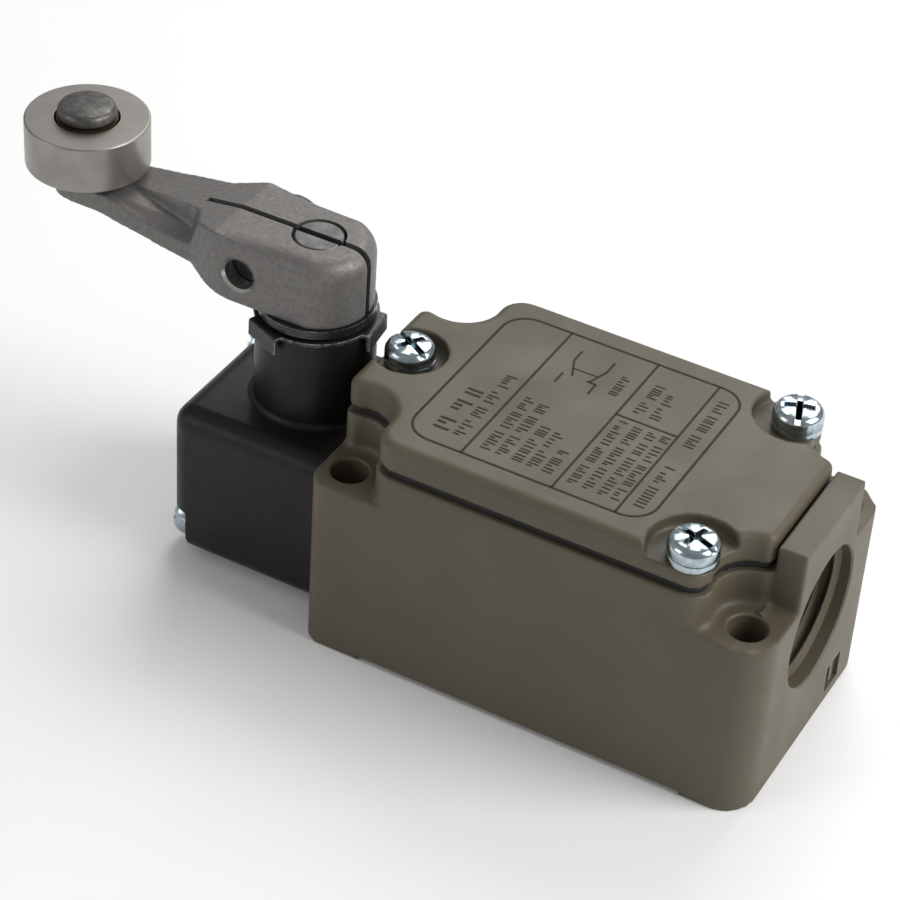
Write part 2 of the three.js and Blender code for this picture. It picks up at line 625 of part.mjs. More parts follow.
function coverPlate() {
  const top = COVER_TOP + CUT_OVERRUN;
  const recess = COVER_BOTTOM + COVER_RECESS;
  let plate = slab(notchedPlan(COVER_RIGHT, COVER_INSET), COVER_BOTTOM, COVER_TOP);
  for (const { x, y, pocket } of COVER_SCREWS) {
    plate = plate.subtract(postZ(x, y, pocket, POCKET_FLOOR, top, 32));
    plate = plate.subtract(postZ(x, y, COVER_SCREW_RADIUS + FIT_GAP, COVER_BOTTOM - CUT_OVERRUN, top, 16));
  }
  const left = CAVITY_LEFT + COVER_LIP;
  const right = SIDE_SCREW_X - SIDE_POCKET_RADIUS - CUT_OVERRUN;
  const width = CAVITY_HALF_WIDTH - COVER_LIP;
  const hollow = box(left, right, -width, width, COVER_BOTTOM - CUT_OVERRUN, recess);
  return plate.subtract(hollow.subtract(notchPillars(NOTCH_WALL)));
}

// ---------------------------------------------------------------- operating head

// The head's block, with its edges rounded along X and around its outer end.
function headBlock() {
  const [w, b, t, e] = [HEAD_HALF_WIDTH, HEAD_BOTTOM, HEAD_TOP, HEAD_EDGE];
  const section = [
    ...arc(w - e, b + e, e, -Math.PI / 2, 0, 4),
    ...arc(w - e, t - e, e, 0, Math.PI / 2, 4),
    ...arc(e - w, t - e, e, Math.PI / 2, Math.PI, 4),
    ...arc(e - w, b + e, e, Math.PI, -Math.PI / 2, 4),
  ];
  const plan = [
    point(HEAD_RIGHT, -w),
    point(HEAD_RIGHT, w),
    ...arc(HEAD_LEFT + e, w - e, e, Math.PI / 2, Math.PI, 4),
    ...arc(HEAD_LEFT + e, e - w, e, Math.PI, -Math.PI / 2, 4),
  ];
  const profile = [
    point(HEAD_RIGHT, b),
    point(HEAD_RIGHT, t),
    ...arc(HEAD_LEFT + e, t - e, e, Math.PI / 2, Math.PI, 4),
    ...arc(HEAD_LEFT + e, b + e, e, Math.PI, -Math.PI / 2, 4),
  ];
  const block = endSlab(section, HEAD_LEFT, HEAD_RIGHT);
  return block.intersect(slab(plan, b, t)).intersect(sideSlab(profile, w));
}

function headCasting() {
  let body = headBlock().add(postZ(SHAFT_X, 0, BOSS_RADIUS, HEAD_TOP - CUT_OVERRUN, BOSS_TOP, 40));
  body = body.subtract(camChamber()).subtract(shaftBores());
  for (const { y, z } of HEAD_SCREWS) {
    const seat = HEAD_LEFT + HEAD_SEAT_DEPTH;
    const sy = Math.sign(y);
    const sz = Math.sign(z - (HEAD_TOP + HEAD_BOTTOM) / 2);
    body = body.subtract(rodX(y, z, HEAD_SEAT_RADIUS, HEAD_LEFT - CUT_OVERRUN, seat));
    body = body.subtract(screwSeatCorner(y, z, sy, sz, seat));
    body = body.subtract(rodX(y, z, HEAD_SCREW_RADIUS + FIT_GAP, HEAD_LEFT, HEAD_RIGHT + CUT_OVERRUN, 16));
  }
  return body;
}

// Opens a head screw's round seat to the nearest corner of the end face.
function screwSeatCorner(y, z, sy, sz, seat) {
  const reach = HEAD_SEAT_RADIUS;
  const outerY = sy * (HEAD_HALF_WIDTH + CUT_OVERRUN);
  const outerZ = sz > 0 ? HEAD_TOP + CUT_OVERRUN : HEAD_BOTTOM - CUT_OVERRUN;
  const innerY = y - sy * reach;
  const innerZ = z - sz * reach;
  const beside = box(
    HEAD_LEFT - CUT_OVERRUN, seat,
    Math.min(y, outerY), Math.max(y, outerY),
    Math.min(innerZ, outerZ), Math.max(innerZ, outerZ),
  );
  const above = box(
    HEAD_LEFT - CUT_OVERRUN, seat,
    Math.min(innerY, outerY), Math.max(innerY, outerY),
    Math.min(z, outerZ), Math.max(z, outerZ),
  );
  return beside.add(above);
}

// The space around the cam, open towards the base.
function camChamber() {
  const open = HEAD_RIGHT + CUT_OVERRUN;
  const run = box(SHAFT_X, open, -CHAMBER_HALF_WIDTH, CHAMBER_HALF_WIDTH, CHAMBER_BOTTOM, CHAMBER_TOP);
  return run.add(postZ(SHAFT_X, 0, CHAMBER_HALF_WIDTH, CHAMBER_BOTTOM, CHAMBER_TOP, 32));
}

// The bearing and seal bores in the boss, and the blind pilot hole below the cam.
function shaftBores() {
  const top = BOSS_TOP + CUT_OVERRUN;
  const bearingBore = postZ(SHAFT_X, 0, BEARING_RADIUS + FIT_GAP, CHAMBER_TOP - CUT_OVERRUN, top);
  const sealBore = postZ(SHAFT_X, 0, SEAL_RADIUS + FIT_GAP, sealBottom(), top);
  const pilotFloor = CHAMBER_BOTTOM - SHAFT_PILOT_DEPTH - FIT_GAP;
  const pilot = postZ(SHAFT_X, 0, SHAFT_PILOT_RADIUS + FIT_GAP, pilotFloor, CHAMBER_BOTTOM + CUT_OVERRUN);
  return bearingBore.add(sealBore).add(pilot);
}

function sealBottom() {
  return BOSS_TOP - SEAL_HEIGHT - FIT_GAP;
}

function headGasket() {
  const half = HEAD_HALF_WIDTH - HEAD_GASKET_INSET;
  const [bottom, top] = [HEAD_BOTTOM + HEAD_GASKET_INSET, HEAD_TOP - HEAD_GASKET_INSET];
  let sheet = box(HEAD_RIGHT, BASE_LEFT, -half, half, bottom, top);
  const [x0, x1] = [HEAD_RIGHT - CUT_OVERRUN, BASE_LEFT + CUT_OVERRUN];
  sheet = sheet.subtract(rodX(0, PLUNGER_HEIGHT, SPRING_BORE_RADIUS, x0, x1));
  for (const { y, z } of HEAD_SCREWS) {
    sheet = sheet.subtract(rodX(y, z, HEAD_SCREW_RADIUS + FIT_GAP, x0, x1, 16));
  }
  return sheet;
}

// A tube about Z, as a closed ring.
function tube(inner, outer, z0, z1, sides = 22) {
  const disc = postZ(0, 0, outer, z0, z1, sides);
  return disc.subtract(postZ(0, 0, inner, z0 - CUT_OVERRUN, z1 + CUT_OVERRUN, sides));
}

// The thin plate on the boss, with three tabs bent down over its side.
function indicatorPlate() {
  const inner = BOSS_RADIUS + FIT_GAP;
  const outer = inner + PLATE_TAB_THICKNESS;
  const top = BOSS_TOP + PLATE_THICKNESS;
  let plate = tube(SEAL_RADIUS - FIT_GAP, inner, BOSS_TOP, top, 32);
  for (const degrees of PLATE_TAB_ANGLES) {
    plate = plate.add(plateTab(inner, outer, top, THREE.MathUtils.degToRad(degrees)));
  }
  return plate;
}

function plateTab(inner, outer, top, middle) {
  const half = THREE.MathUtils.degToRad(PLATE_TAB_HALF_ANGLE);
  const wall = [
    ...arc(0, 0, outer, middle - half, middle + half, 4),
    ...arc(0, 0, inner, middle + half, middle - half, 4),
  ];
  const lip = [
    ...arc(0, 0, outer, middle - half, middle + half, 4),
    ...arc(0, 0, inner - PLATE_TAB_THICKNESS, middle + half, middle - half, 4),
  ];
  return slab(wall, top - PLATE_TAB_DROP, top).add(slab(lip, BOSS_TOP, top));
}

function shaftBearing() {
  return tube(SHAFT_RADIUS + FIT_GAP, BEARING_RADIUS, CHAMBER_TOP + FIT_GAP, sealBottom() - FIT_GAP);
}

function shaftSeal() {
  return tube(SHAFT_RADIUS + FIT_GAP, SEAL_RADIUS, sealBottom() + FIT_GAP, BOSS_TOP - FIT_GAP);
}

function rotaryShaft() {
  const foot = CHAMBER_BOTTOM - SHAFT_PILOT_DEPTH;
  const stem = turned([
    [0, foot],
    [SHAFT_PILOT_RADIUS, foot],
    [SHAFT_PILOT_RADIUS, CHAMBER_BOTTOM + FIT_GAP],
    [SHAFT_RADIUS, CHAMBER_BOTTOM + FIT_GAP],
    [SHAFT_RADIUS, HUB_TOP],
    [0, HUB_TOP],
  ], 32);
  const slot = box(-BOSS_RADIUS, BOSS_RADIUS, -SHAFT_SLOT_WIDTH / 2, SHAFT_SLOT_WIDTH / 2,
    HUB_TOP - SHAFT_SLOT_DEPTH, HUB_TOP + CUT_OVERRUN);
  return stem.subtract(slot);
}

// The cam ring on the shaft, with a flat that faces the plunger at rest.
function shaftCam() {
  const [z0, z1] = [PLUNGER_HEIGHT - CAM_HEIGHT / 2, PLUNGER_HEIGHT + CAM_HEIGHT / 2];
  const ring = tube(SHAFT_RADIUS + FIT_GAP, CAM_RADIUS, z0, z1, 32);
  const outside = CAM_RADIUS + CUT_OVERRUN;
  const flat = box(CAM_FLAT, outside, -outside, outside, z0 - CUT_OVERRUN, z1 + CUT_OVERRUN);
  return ring.subtract(flat);
}

// The open retaining ring under the bearing.
function shaftRing() {
  const z1 = CHAMBER_TOP - FIT_GAP;
  const outer = SHAFT_RADIUS + FIT_GAP + RING_WALL;
  const ring = tube(SHAFT_RADIUS + FIT_GAP, outer, z1 - RING_THICKNESS, z1);
  const mouth = SHAFT_RADIUS / 2;
  return ring.subtract(box(-outer, 0, -mouth, mouth, z1 - RING_THICKNESS - CUT_OVERRUN, z1 + CUT_OVERRUN));
}

function shaftCollar() {
  return tube(SHAFT_RADIUS + FIT_GAP, COLLAR_RADIUS, COLLAR_BOTTOM, HUB_BOTTOM, 32);
}

// ---------------------------------------------------------------- plunger

function operatingPlunger() {
  const rod = rodX(0, PLUNGER_HEIGHT, PLUNGER_RADIUS, PLUNGER_TIP, PLUNGER_END);
  const right = COLLAR_LEFT + PLUNGER_COLLAR_LENGTH;
  return rod.add(rodX(0, PLUNGER_HEIGHT, PLUNGER_COLLAR_RADIUS, COLLAR_LEFT, right));
}

function plungerGuide() {
  const half = CHAMBER_HALF_WIDTH - FIT_GAP;
  const left = HEAD_RIGHT - GUIDE_LENGTH;
  const block = box(left, HEAD_RIGHT, -half, half, CHAMBER_BOTTOM + FIT_GAP, CHAMBER_TOP - FIT_GAP);
  const bore = PLUNGER_RADIUS + FIT_GAP;
  return block.subtract(rodX(0, PLUNGER_HEIGHT, bore, left - CUT_OVERRUN, HEAD_RIGHT + CUT_OVERRUN));
}

function plungerSpringLength() {
  return CAVITY_LEFT - SPRING_SEAT - FIT_GAP - (COLLAR_LEFT + PLUNGER_COLLAR_LENGTH + FIT_GAP);
}

// ---------------------------------------------------------------- roller lever

// The lever in plan, with the shaft at the origin and the roller along -X.
function leverPlan() {
  const neck = -HUB_LENGTH - HUB_NECK;
  const lean = Math.asin(HUB_HALF_WIDTH / HUB_RADIUS);
  return [
    ...arc(0, 0, HUB_RADIUS, -lean, lean, 16),
    point(-HUB_LENGTH, HUB_HALF_WIDTH),
    point(neck, ARM_ROOT_HALF_WIDTH),
    ...arc(-LEVER_RADIUS, 0, ARM_TIP_HALF_WIDTH, Math.PI / 2, Math.PI, 8),
    ...arc(-LEVER_RADIUS, 0, ARM_TIP_HALF_WIDTH, Math.PI, -Math.PI / 2, 8).slice(1),
    point(neck, -ARM_ROOT_HALF_WIDTH),
    point(-HUB_LENGTH, -HUB_HALF_WIDTH),
  ];
}

// The lever from the side: a tall hub, then an arm that thins towards the roller.
function leverProfile() {
  const tip = -LEVER_RADIUS - ARM_TIP_HALF_WIDTH - CUT_OVERRUN;
  const neck = -HUB_LENGTH - HUB_NECK;
  const seat = -LEVER_RADIUS + ROLLER_WASHER_RADIUS + POCKET_WEB;
  return [
    point(HUB_RADIUS + CUT_OVERRUN, HUB_BOTTOM),
    point(HUB_RADIUS + CUT_OVERRUN, HUB_TOP),
    point(-HUB_LENGTH, HUB_TOP),
    point(seat, HUB_BOTTOM + ARM_TIP_TOP),
    point(tip, HUB_BOTTOM + ARM_TIP_TOP),
    point(tip, HUB_BOTTOM + ARM_TIP_BOTTOM),
    point(-LEVER_RADIUS + PIN_TAIL_RADIUS + POCKET_WEB, HUB_BOTTOM + ARM_TIP_BOTTOM),
    point(neck, HUB_BOTTOM + ARM_ROOT_BOTTOM),
    point(-HUB_LENGTH, HUB_BOTTOM),
  ];
}

// The wedge-shaped hollow beside the arm, deepest next to the hub.
function armPocket() {
  const root = -HUB_LENGTH - HUB_NECK;
  const floor = HUB_BOTTOM + ARM_TIP_BOTTOM;
  const high = HUB_TOP + CUT_OVERRUN;
  const wedge = sideSlab([
    point(root, floor),
    point(root, high),
    point(root - POCKET_LENGTH, high),
    point(root - POCKET_LENGTH, HUB_BOTTOM + ARM_TIP_TOP),
  ], ARM_ROOT_HALF_WIDTH);
  const outer = -ARM_TIP_HALF_WIDTH + POCKET_WEB;
  const plan = slab([
    point(root + CUT_OVERRUN, outer),
    point(root + CUT_OVERRUN, -POCKET_WEB),
    point(root - POCKET_LENGTH, outer + POCKET_WEB),
    point(root - POCKET_LENGTH, outer),
  ], HUB_BOTTOM, high + CUT_OVERRUN);
  return wedge.intersect(plan);
}

function leverArm() {
  const reach = HUB_HALF_WIDTH + CUT_OVERRUN;
  const boltZ = HUB_BOTTOM + BOLT_HEIGHT;
  const [low, high] = [HUB_BOTTOM - CUT_OVERRUN, HUB_TOP + CUT_OVERRUN];
  let lever = slab(leverPlan(), low, high);
  lever = lever.intersect(sideSlab(leverProfile(), reach)).subtract(armPocket());
  lever = lever.subtract(postZ(0, 0, SHAFT_RADIUS + FIT_GAP, low, high, 32));
  const half = SLIT_WIDTH / 2;
  lever = lever.subtract(box(-SLIT_LENGTH, HUB_RADIUS + CUT_OVERRUN, -half, half, low, high));
  lever = lever.subtract(rodY(-BOLT_FROM_SHAFT, boltZ, BOLT_RADIUS + FIT_GAP, -reach, reach));
  const seat = HUB_HALF_WIDTH - BOLT_HEAD_SINK;
  lever = lever.subtract(rodY(-BOLT_FROM_SHAFT, boltZ, BOLT_HEAD_RADIUS + FIT_GAP, seat, reach));
  const pinHole = PIN_RADIUS + FIT_GAP;
  return lever.subtract(postZ(-LEVER_RADIUS, 0, pinHole, low, HUB_TOP, 24));
}

// The clamp bolt across the hub, with a six-sided socket in its head.
function clampBolt() {
  const seat = HUB_HALF_WIDTH - BOLT_HEAD_SINK;
  const end = -HUB_HALF_WIDTH + BOLT_END_SINK;
  const top = seat + BOLT_HEAD_HEIGHT;
  const boltZ = HUB_BOTTOM + BOLT_HEIGHT;
  const shank = rodY(-BOLT_FROM_SHAFT, boltZ, BOLT_RADIUS, end, seat + CUT_OVERRUN);
  const head = rodY(-BOLT_FROM_SHAFT, boltZ, BOLT_HEAD_RADIUS, seat, top);
  const socket = rodY(-BOLT_FROM_SHAFT, boltZ, BOLT_SOCKET, top - BOLT_SOCKET, top + CUT_OVERRUN, 6);
  return shank.add(head).subtract(socket);
}

function rollerWasher() {
  const bottom = HUB_BOTTOM + ARM_TIP_TOP;
  return tube(PIN_RADIUS + FIT_GAP, ROLLER_WASHER_RADIUS, bottom, bottom + ROLLER_WASHER_THICKNESS);
}

function roller() {
  const bore = PIN_RADIUS + 2 * FIT_GAP + BUSH_WALL + FIT_GAP;
  return tube(bore, ROLLER_RADIUS, ROLLER_BOTTOM, ROLLER_TOP, 40);
}

function rollerBush() {
  const inner = PIN_RADIUS + FIT_GAP;
  return tube(inner, inner + BUSH_WALL + FIT_GAP, ROLLER_BOTTOM, ROLLER_TOP);
}

// The riveted pin: a domed head over the roller and an upset tail under the arm.
function rollerPin() {
  const under = HUB_BOTTOM + ARM_TIP_BOTTOM - FIT_GAP;
  const head = ROLLER_TOP + FIT_GAP;
  return turned([
    [0, under - PIN_TAIL_HEIGHT],
    [PIN_TAIL_RADIUS * PAN_CROWN_RADIUS, under - PIN_TAIL_HEIGHT],
    [PIN_TAIL_RADIUS, under - PIN_TAIL_HEIGHT / 2],
    [PIN_TAIL_RADIUS, under],
    [PIN_RADIUS, under],
    [PIN_RADIUS, head],
    [PIN_HEAD_RADIUS, head],
    [PIN_HEAD_RADIUS, head + PIN_HEAD_HEIGHT / 2],
    [PIN_HEAD_RADIUS * PAN_CROWN_RADIUS, head + PIN_HEAD_HEIGHT * PAN_CROWN_HEIGHT],
    [0, head + PIN_HEAD_HEIGHT],
  ]);
}

// ---------------------------------------------------------------- built-in switch

function switchCase() {
  const [left, right, half] = [CASE_LEFT, CASE_RIGHT, CASE_HALF_WIDTH];
  let shell = box(left, right, -half, half, FLOOR, CASE_TOP);
  for (const { x, y } of SWITCH_SCREWS) {
    const lug = (LUG_LENGTH + CUT_OVERRUN) / 2;
    const toward = x < left ? CUT_OVERRUN / 2 : -CUT_OVERRUN / 2;
    const middle = x + toward;
    const wide = LUG_WIDTH / 2;
    shell = shell.add(box(middle - lug, middle + lug, y - wide, y + wide, FLOOR, FLOOR + LUG_HEIGHT));
  }
  const inner = [left + CASE_WALL, right - CASE_WALL];
  shell = shell.subtract(box(...inner, -CHAMBER_Y, CHAMBER_Y, FLOOR + CASE_WALL, CASE_TOP + CUT_OVERRUN));
  const buttonHole = BUTTON_RADIUS + FIT_GAP;
  shell = shell.subtract(rodX(0, PLUNGER_HEIGHT, buttonHole, left - CUT_OVERRUN, inner[0] + CUT_OVERRUN));
  for (const { x, y } of SWITCH_SCREWS) {
    const high = FLOOR + LUG_HEIGHT + CUT_OVERRUN;
    shell = shell.subtract(postZ(x, y, SMALL_SCREW_RADIUS + FIT_GAP, 0, high, 14));
  }
  for (const { x, y } of terminalScrews()) {
    const bottom = CASE_TOP + TERMINAL_THICKNESS - TERMINAL_SCREW_LENGTH - FIT_GAP;
    shell = shell.subtract(postZ(x, y, SMALL_SCREW_RADIUS + FIT_GAP, bottom, CASE_TOP + CUT_OVERRUN, 14));
  }
  return shell;
}

function terminalScrews() {
  const closedX = CLOSED_PAD_LEFT + TERMINAL_PAD / 2;
  const openX = OPEN_PAD_LEFT + TERMINAL_PAD / 2;
  return [closedX, openX].flatMap((x) => [-1, 1].map((sy) => ({ x, y: sy * PAD_SCREW_Y })));
}

function switchLid() {
  const half = CHAMBER_Y + LID_WALL;
  const top = CASE_TOP + LID_HEIGHT;
  let lid = box(CASE_LEFT, CASE_RIGHT, -half, half, CASE_TOP, top);
  const [x0, x1] = [CASE_LEFT + CASE_WALL, CASE_RIGHT - CASE_WALL];
  lid = lid.subtract(box(x0, x1, -CHAMBER_Y, CHAMBER_Y, CASE_TOP - CUT_OVERRUN, top - CASE_WALL));
  for (const barLeft of [CLOSED_BAR_LEFT, OPEN_BAR_LEFT]) {
    const [left, right] = [barLeft - FIT_GAP, barLeft + TERMINAL_BAR + FIT_GAP];
    const slotTop = CASE_TOP + TERMINAL_THICKNESS + FIT_GAP;
    const outside = half + CUT_OVERRUN;
    lid = lid.subtract(box(left, right, -outside, outside, CASE_TOP - CUT_OVERRUN, slotTop));
  }
  return lid;
}

// A terminal of the closed pair: a screw pad with a bar that reaches the blade.
function closedTerminal(side) {
  const right = CLOSED_BAR_LEFT + TERMINAL_BAR;
  const plan = [
    point(CLOSED_PAD_LEFT, PAD_OUTER_Y),
    point(CLOSED_PAD_LEFT, PAD_INNER_Y),
    point(CLOSED_BAR_LEFT, PAD_INNER_Y),
    point(CLOSED_BAR_LEFT, TERMINAL_INNER_END),
    point(right, TERMINAL_INNER_END),
    point(right, PAD_OUTER_Y),
  ];
  return terminalPlate(plan, side, CLOSED_PAD_LEFT + TERMINAL_PAD / 2);
}

// A terminal of the open pair: its pad is further along, so the bar turns a corner.
function openTerminal(side) {
  const right = OPEN_PAD_LEFT + TERMINAL_PAD;
  const inner = OPEN_BAR_LEFT + TERMINAL_BAR;
  const shoulder = PAD_INNER_Y + TERMINAL_BAR;
  const plan = [
    point(right, PAD_OUTER_Y),
    point(OPEN_PAD_LEFT, PAD_OUTER_Y),
    point(OPEN_PAD_LEFT, shoulder),
    point(OPEN_BAR_LEFT, shoulder),
    point(OPEN_BAR_LEFT, TERMINAL_INNER_END),
    point(inner, TERMINAL_INNER_END),
    point(inner, PAD_INNER_Y),
    point(right, PAD_INNER_Y),
  ];
  return terminalPlate(plan, side, OPEN_PAD_LEFT + TERMINAL_PAD / 2);
}

function terminalPlate(plan, side, screwX) {
  const points = side > 0 ? plan : plan.map(({ x, y }) => point(x, -y)).reverse();
  const plate = slab(points, CASE_TOP, CASE_TOP + TERMINAL_THICKNESS);
  const [z0, z1] = [CASE_TOP - CUT_OVERRUN, CASE_TOP + TERMINAL_THICKNESS + CUT_OVERRUN];
  return plate.subtract(postZ(screwX, side * PAD_SCREW_Y, SMALL_SCREW_RADIUS + FIT_GAP, z0, z1, 14));
}

// The push button with the carrier that holds the moving contact blade.
function switchButton() {
  const right = CARRIER_LEFT + CARRIER_LENGTH;
  const low = PLUNGER_HEIGHT - BUTTON_RADIUS;
  const pin = rodX(0, PLUNGER_HEIGHT, BUTTON_RADIUS, BUTTON_TIP, CARRIER_LEFT + CUT_OVERRUN);
  const carrier = box(CARRIER_LEFT, right, -CARRIER_HALF_WIDTH, CARRIER_HALF_WIDTH, low, CARRIER_TOP);
  const [x0, x1] = [BLADE_LEFT - FIT_GAP, BLADE_LEFT + BLADE_THICKNESS + FIT_GAP];
  const rise = BLADE_HEIGHT / 2 + FIT_GAP;
  const wide = CARRIER_HALF_WIDTH + CUT_OVERRUN;
  return pin.add(carrier).subtract(box(x0, x1, -wide, wide, TERMINAL_MIDDLE - rise, TERMINAL_MIDDLE + rise));
}

function contactBlade() {
  const rise = BLADE_HEIGHT / 2;
  const right = BLADE_LEFT + BLADE_THICKNESS;
  const [z0, z1] = [TERMINAL_MIDDLE - rise, TERMINAL_MIDDLE + rise];
  return box(BLADE_LEFT, right, -BLADE_HALF_LENGTH, BLADE_HALF_LENGTH, z0, z1);
}

function smallScrew(length) {
  return panScrew(SMALL_SCREW_RADIUS, length, SMALL_SCREW_HEAD_RADIUS, SMALL_SCREW_HEAD_HEIGHT);
}

// ---------------------------------------------------------------- assembly

function piece(name, body, material) {
  const mesh = new THREE.Mesh(toGeometry(body), material());
  mesh.name = name;
  return mesh;
}

function placed(mesh, x, y, z) {
  mesh.position.set(x, y, z);
  return mesh;
}

function housing() {
  const group = new THREE.Group();
  group.add(piece("body_casting", baseCasting(), paintedCasting));
  group.add(piece("cover_gasket", coverGasket(), rubber));
  group.add(piece("cover_plate", coverPlate(), paintedCasting));
  COVER_SCREWS.forEach(({ x, y }, i) => {
    const washer = splitWasher(COVER_SCREW_RADIUS + FIT_GAP, COVER_SCREW_HEAD_RADIUS, WASHER_THICKNESS);
    const length = COVER_SCREW_LENGTH;
    const screw = panScrew(COVER_SCREW_RADIUS, length, COVER_SCREW_HEAD_RADIUS, COVER_SCREW_HEAD_HEIGHT);
    group.add(placed(piece(`cover_washer_${i + 1}`, washer, zincSteel), x, y, POCKET_FLOOR));
    group.add(placed(piece(`cover_screw_${i + 1}`, screw, zincSteel), x, y, POCKET_FLOOR + WASHER_THICKNESS));
  });
  return group;
}

function operatingHead() {
  const group = new THREE.Group();
  group.add(piece("head_gasket", headGasket(), rubber));
  group.add(piece("head_casting", headCasting(), blackCasting));
  const seat = HEAD_LEFT + HEAD_SEAT_DEPTH;
  const clamp = seat - HEAD_WASHER_THICKNESS;
  const length = BASE_LEFT + HEAD_SCREW_BITE - clamp;
  HEAD_SCREWS.forEach(({ y, z }, i) => {
    const screw = panScrew(HEAD_SCREW_RADIUS, length, HEAD_SCREW_HEAD_RADIUS, HEAD_SCREW_HEAD_HEIGHT);
    const washer = splitWasher(HEAD_SCREW_RADIUS + FIT_GAP, HEAD_SCREW_HEAD_RADIUS, HEAD_WASHER_THICKNESS);
    const turnedScrew = placed(piece(`head_screw_${i + 1}`, screw, zincSteel), clamp, y, z);
    const turnedWasher = placed(piece(`head_washer_${i + 1}`, washer, zincSteel), seat, y, z);
    for (const mesh of [turnedScrew, turnedWasher]) {
      mesh.rotation.y = -Math.PI / 2;
      group.add(mesh);
    }
  });
  group.add(placed(piece("indicator_plate", indicatorPlate(), blackSteel), SHAFT_X, 0, 0));
  group.add(placed(piece("shaft_bearing", shaftBearing(), bronze), SHAFT_X, 0, 0));
  group.add(placed(piece("shaft_seal", shaftSeal(), rubber), SHAFT_X, 0, 0));
  group.add(piece("plunger_guide", plungerGuide(), bronze));
  group.add(piece("operating_plunger", operatingPlunger(), machinedSteel));
  const coilLength = plungerSpringLength();
  const spring = coilSpring(PLUNGER_SPRING_RADIUS, SPRING_WIRE_RADIUS, coilLength, PLUNGER_SPRING_TURNS);
  const springLeft = COLLAR_LEFT + PLUNGER_COLLAR_LENGTH + FIT_GAP;
  group.add(placed(piece("plunger_spring", spring, springSteel), springLeft, 0, PLUNGER_HEIGHT));
  return group;
}

// Everything that turns with the lever, in a group on the shaft axis.
function leverGroup() {
  const group = new THREE.Group();
  group.position.x = SHAFT_X;
  group.add(piece("rotary_shaft", rotaryShaft(), machinedSteel));
  group.add(piece("shaft_cam", shaftCam(), darkSteel));
  group.add(piece("shaft_ring", shaftRing(), springSteel));
  group.add(piece("shaft_collar", shaftCollar(), machinedSteel));
  group.add(piece("lever_arm", leverArm(), rawCasting));
  group.add(piece("clamp_bolt", clampBolt(), darkSteel));
  const tip = new THREE.Group();
  tip.position.x = -LEVER_RADIUS;
  tip.add(piece("roller_washer", rollerWasher(), machinedSteel));
  tip.add(piece("roller_bush", rollerBush(), bronze));
  tip.add(piece("roller", roller(), machinedSteel));
  tip.add(piece("roller_pin", rollerPin(), darkSteel));
  group.add(tip);
  return group;
}

function switchUnit() {
  const group = new THREE.Group();
  group.add(piece("switch_case", switchCase(), phenolic));
  group.add(piece("switch_lid", switchLid(), whiteResin));
  group.add(piece("switch_button", switchButton(), whiteResin));
  group.add(piece("contact_blade", contactBlade(), silver));
  const springLeft = CARRIER_LEFT + CARRIER_LENGTH + FIT_GAP;
  const length = CASE_RIGHT - CASE_WALL - FIT_GAP - springLeft;
  const spring = coilSpring(BUTTON_SPRING_RADIUS, SPRING_WIRE_RADIUS, length, BUTTON_SPRING_TURNS);
  group.add(placed(piece("button_spring", spring, springSteel), springLeft, 0, PLUNGER_HEIGHT));
  group.add(piece("terminal_1", closedTerminal(-1), brass));
  group.add(piece("terminal_2", closedTerminal(1), brass));
  group.add(piece("terminal_3", openTerminal(-1), brass));
  group.add(piece("terminal_4", openTerminal(1), brass));
  terminalScrews().forEach(({ x, y }, i) => {
    const screw = piece(`terminal_screw_${i + 1}`, smallScrew(TERMINAL_SCREW_LENGTH), zincSteel);
    group.add(placed(screw, x, y, CASE_TOP + TERMINAL_THICKNESS));
  });
  SWITCH_SCREWS.forEach(({ x, y }, i) => {
    const screw = smallScrew(LUG_HEIGHT + SMALL_SCREW_DEPTH - FIT_GAP);
    group.add(placed(piece(`switch_screw_${i + 1}`, screw, zincSteel), x, y, FLOOR + LUG_HEIGHT));
  });
  const groundFloor = FLOOR + GROUND_BOSS_HEIGHT;
  const washer = splitWasher(SMALL_SCREW_RADIUS + FIT_GAP, SMALL_SCREW_HEAD_RADIUS, WASHER_THICKNESS);
  group.add(placed(piece("ground_washer", washer, zincSteel), GROUND_X, GROUND_Y, groundFloor));
  const ground = smallScrew(WASHER_THICKNESS + SMALL_SCREW_DEPTH - FIT_GAP);
  group.add(placed(piece("ground_screw", ground, brass), GROUND_X, GROUND_Y, groundFloor + WASHER_THICKNESS));
  return group;
}

const limitSwitch = new THREE.Group();
limitSwitch.add(housing());
limitSwitch.add(operatingHead());
limitSwitch.add(leverGroup());
limitSwitch.add(switchUnit());

export default limitSwitch;
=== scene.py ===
"""Looks of a box-type limit switch with a roller lever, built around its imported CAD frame.

Lengths in the classes are millimetres in the part's own frame. The helpers turn them into metres.
"""

import json
import logging
import math
import random
from collections.abc import Callable, Sequence
from dataclasses import dataclass, field
from enum import Enum

import bpy
from mathutils import Matrix, Vector


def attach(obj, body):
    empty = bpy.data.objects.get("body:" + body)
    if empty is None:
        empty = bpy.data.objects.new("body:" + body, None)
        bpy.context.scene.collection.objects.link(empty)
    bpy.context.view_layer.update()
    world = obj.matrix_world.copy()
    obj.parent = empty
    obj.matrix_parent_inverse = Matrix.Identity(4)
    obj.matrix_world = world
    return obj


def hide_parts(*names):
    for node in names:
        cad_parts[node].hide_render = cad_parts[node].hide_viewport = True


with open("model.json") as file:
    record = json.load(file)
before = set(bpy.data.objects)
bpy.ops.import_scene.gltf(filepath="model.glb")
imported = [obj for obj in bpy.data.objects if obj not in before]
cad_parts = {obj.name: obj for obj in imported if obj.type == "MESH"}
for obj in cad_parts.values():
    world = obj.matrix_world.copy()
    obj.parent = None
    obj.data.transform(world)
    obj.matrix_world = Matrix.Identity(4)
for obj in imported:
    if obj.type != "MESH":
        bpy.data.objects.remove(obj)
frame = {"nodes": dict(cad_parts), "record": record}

LOG = logging.getLogger("limit_switch")
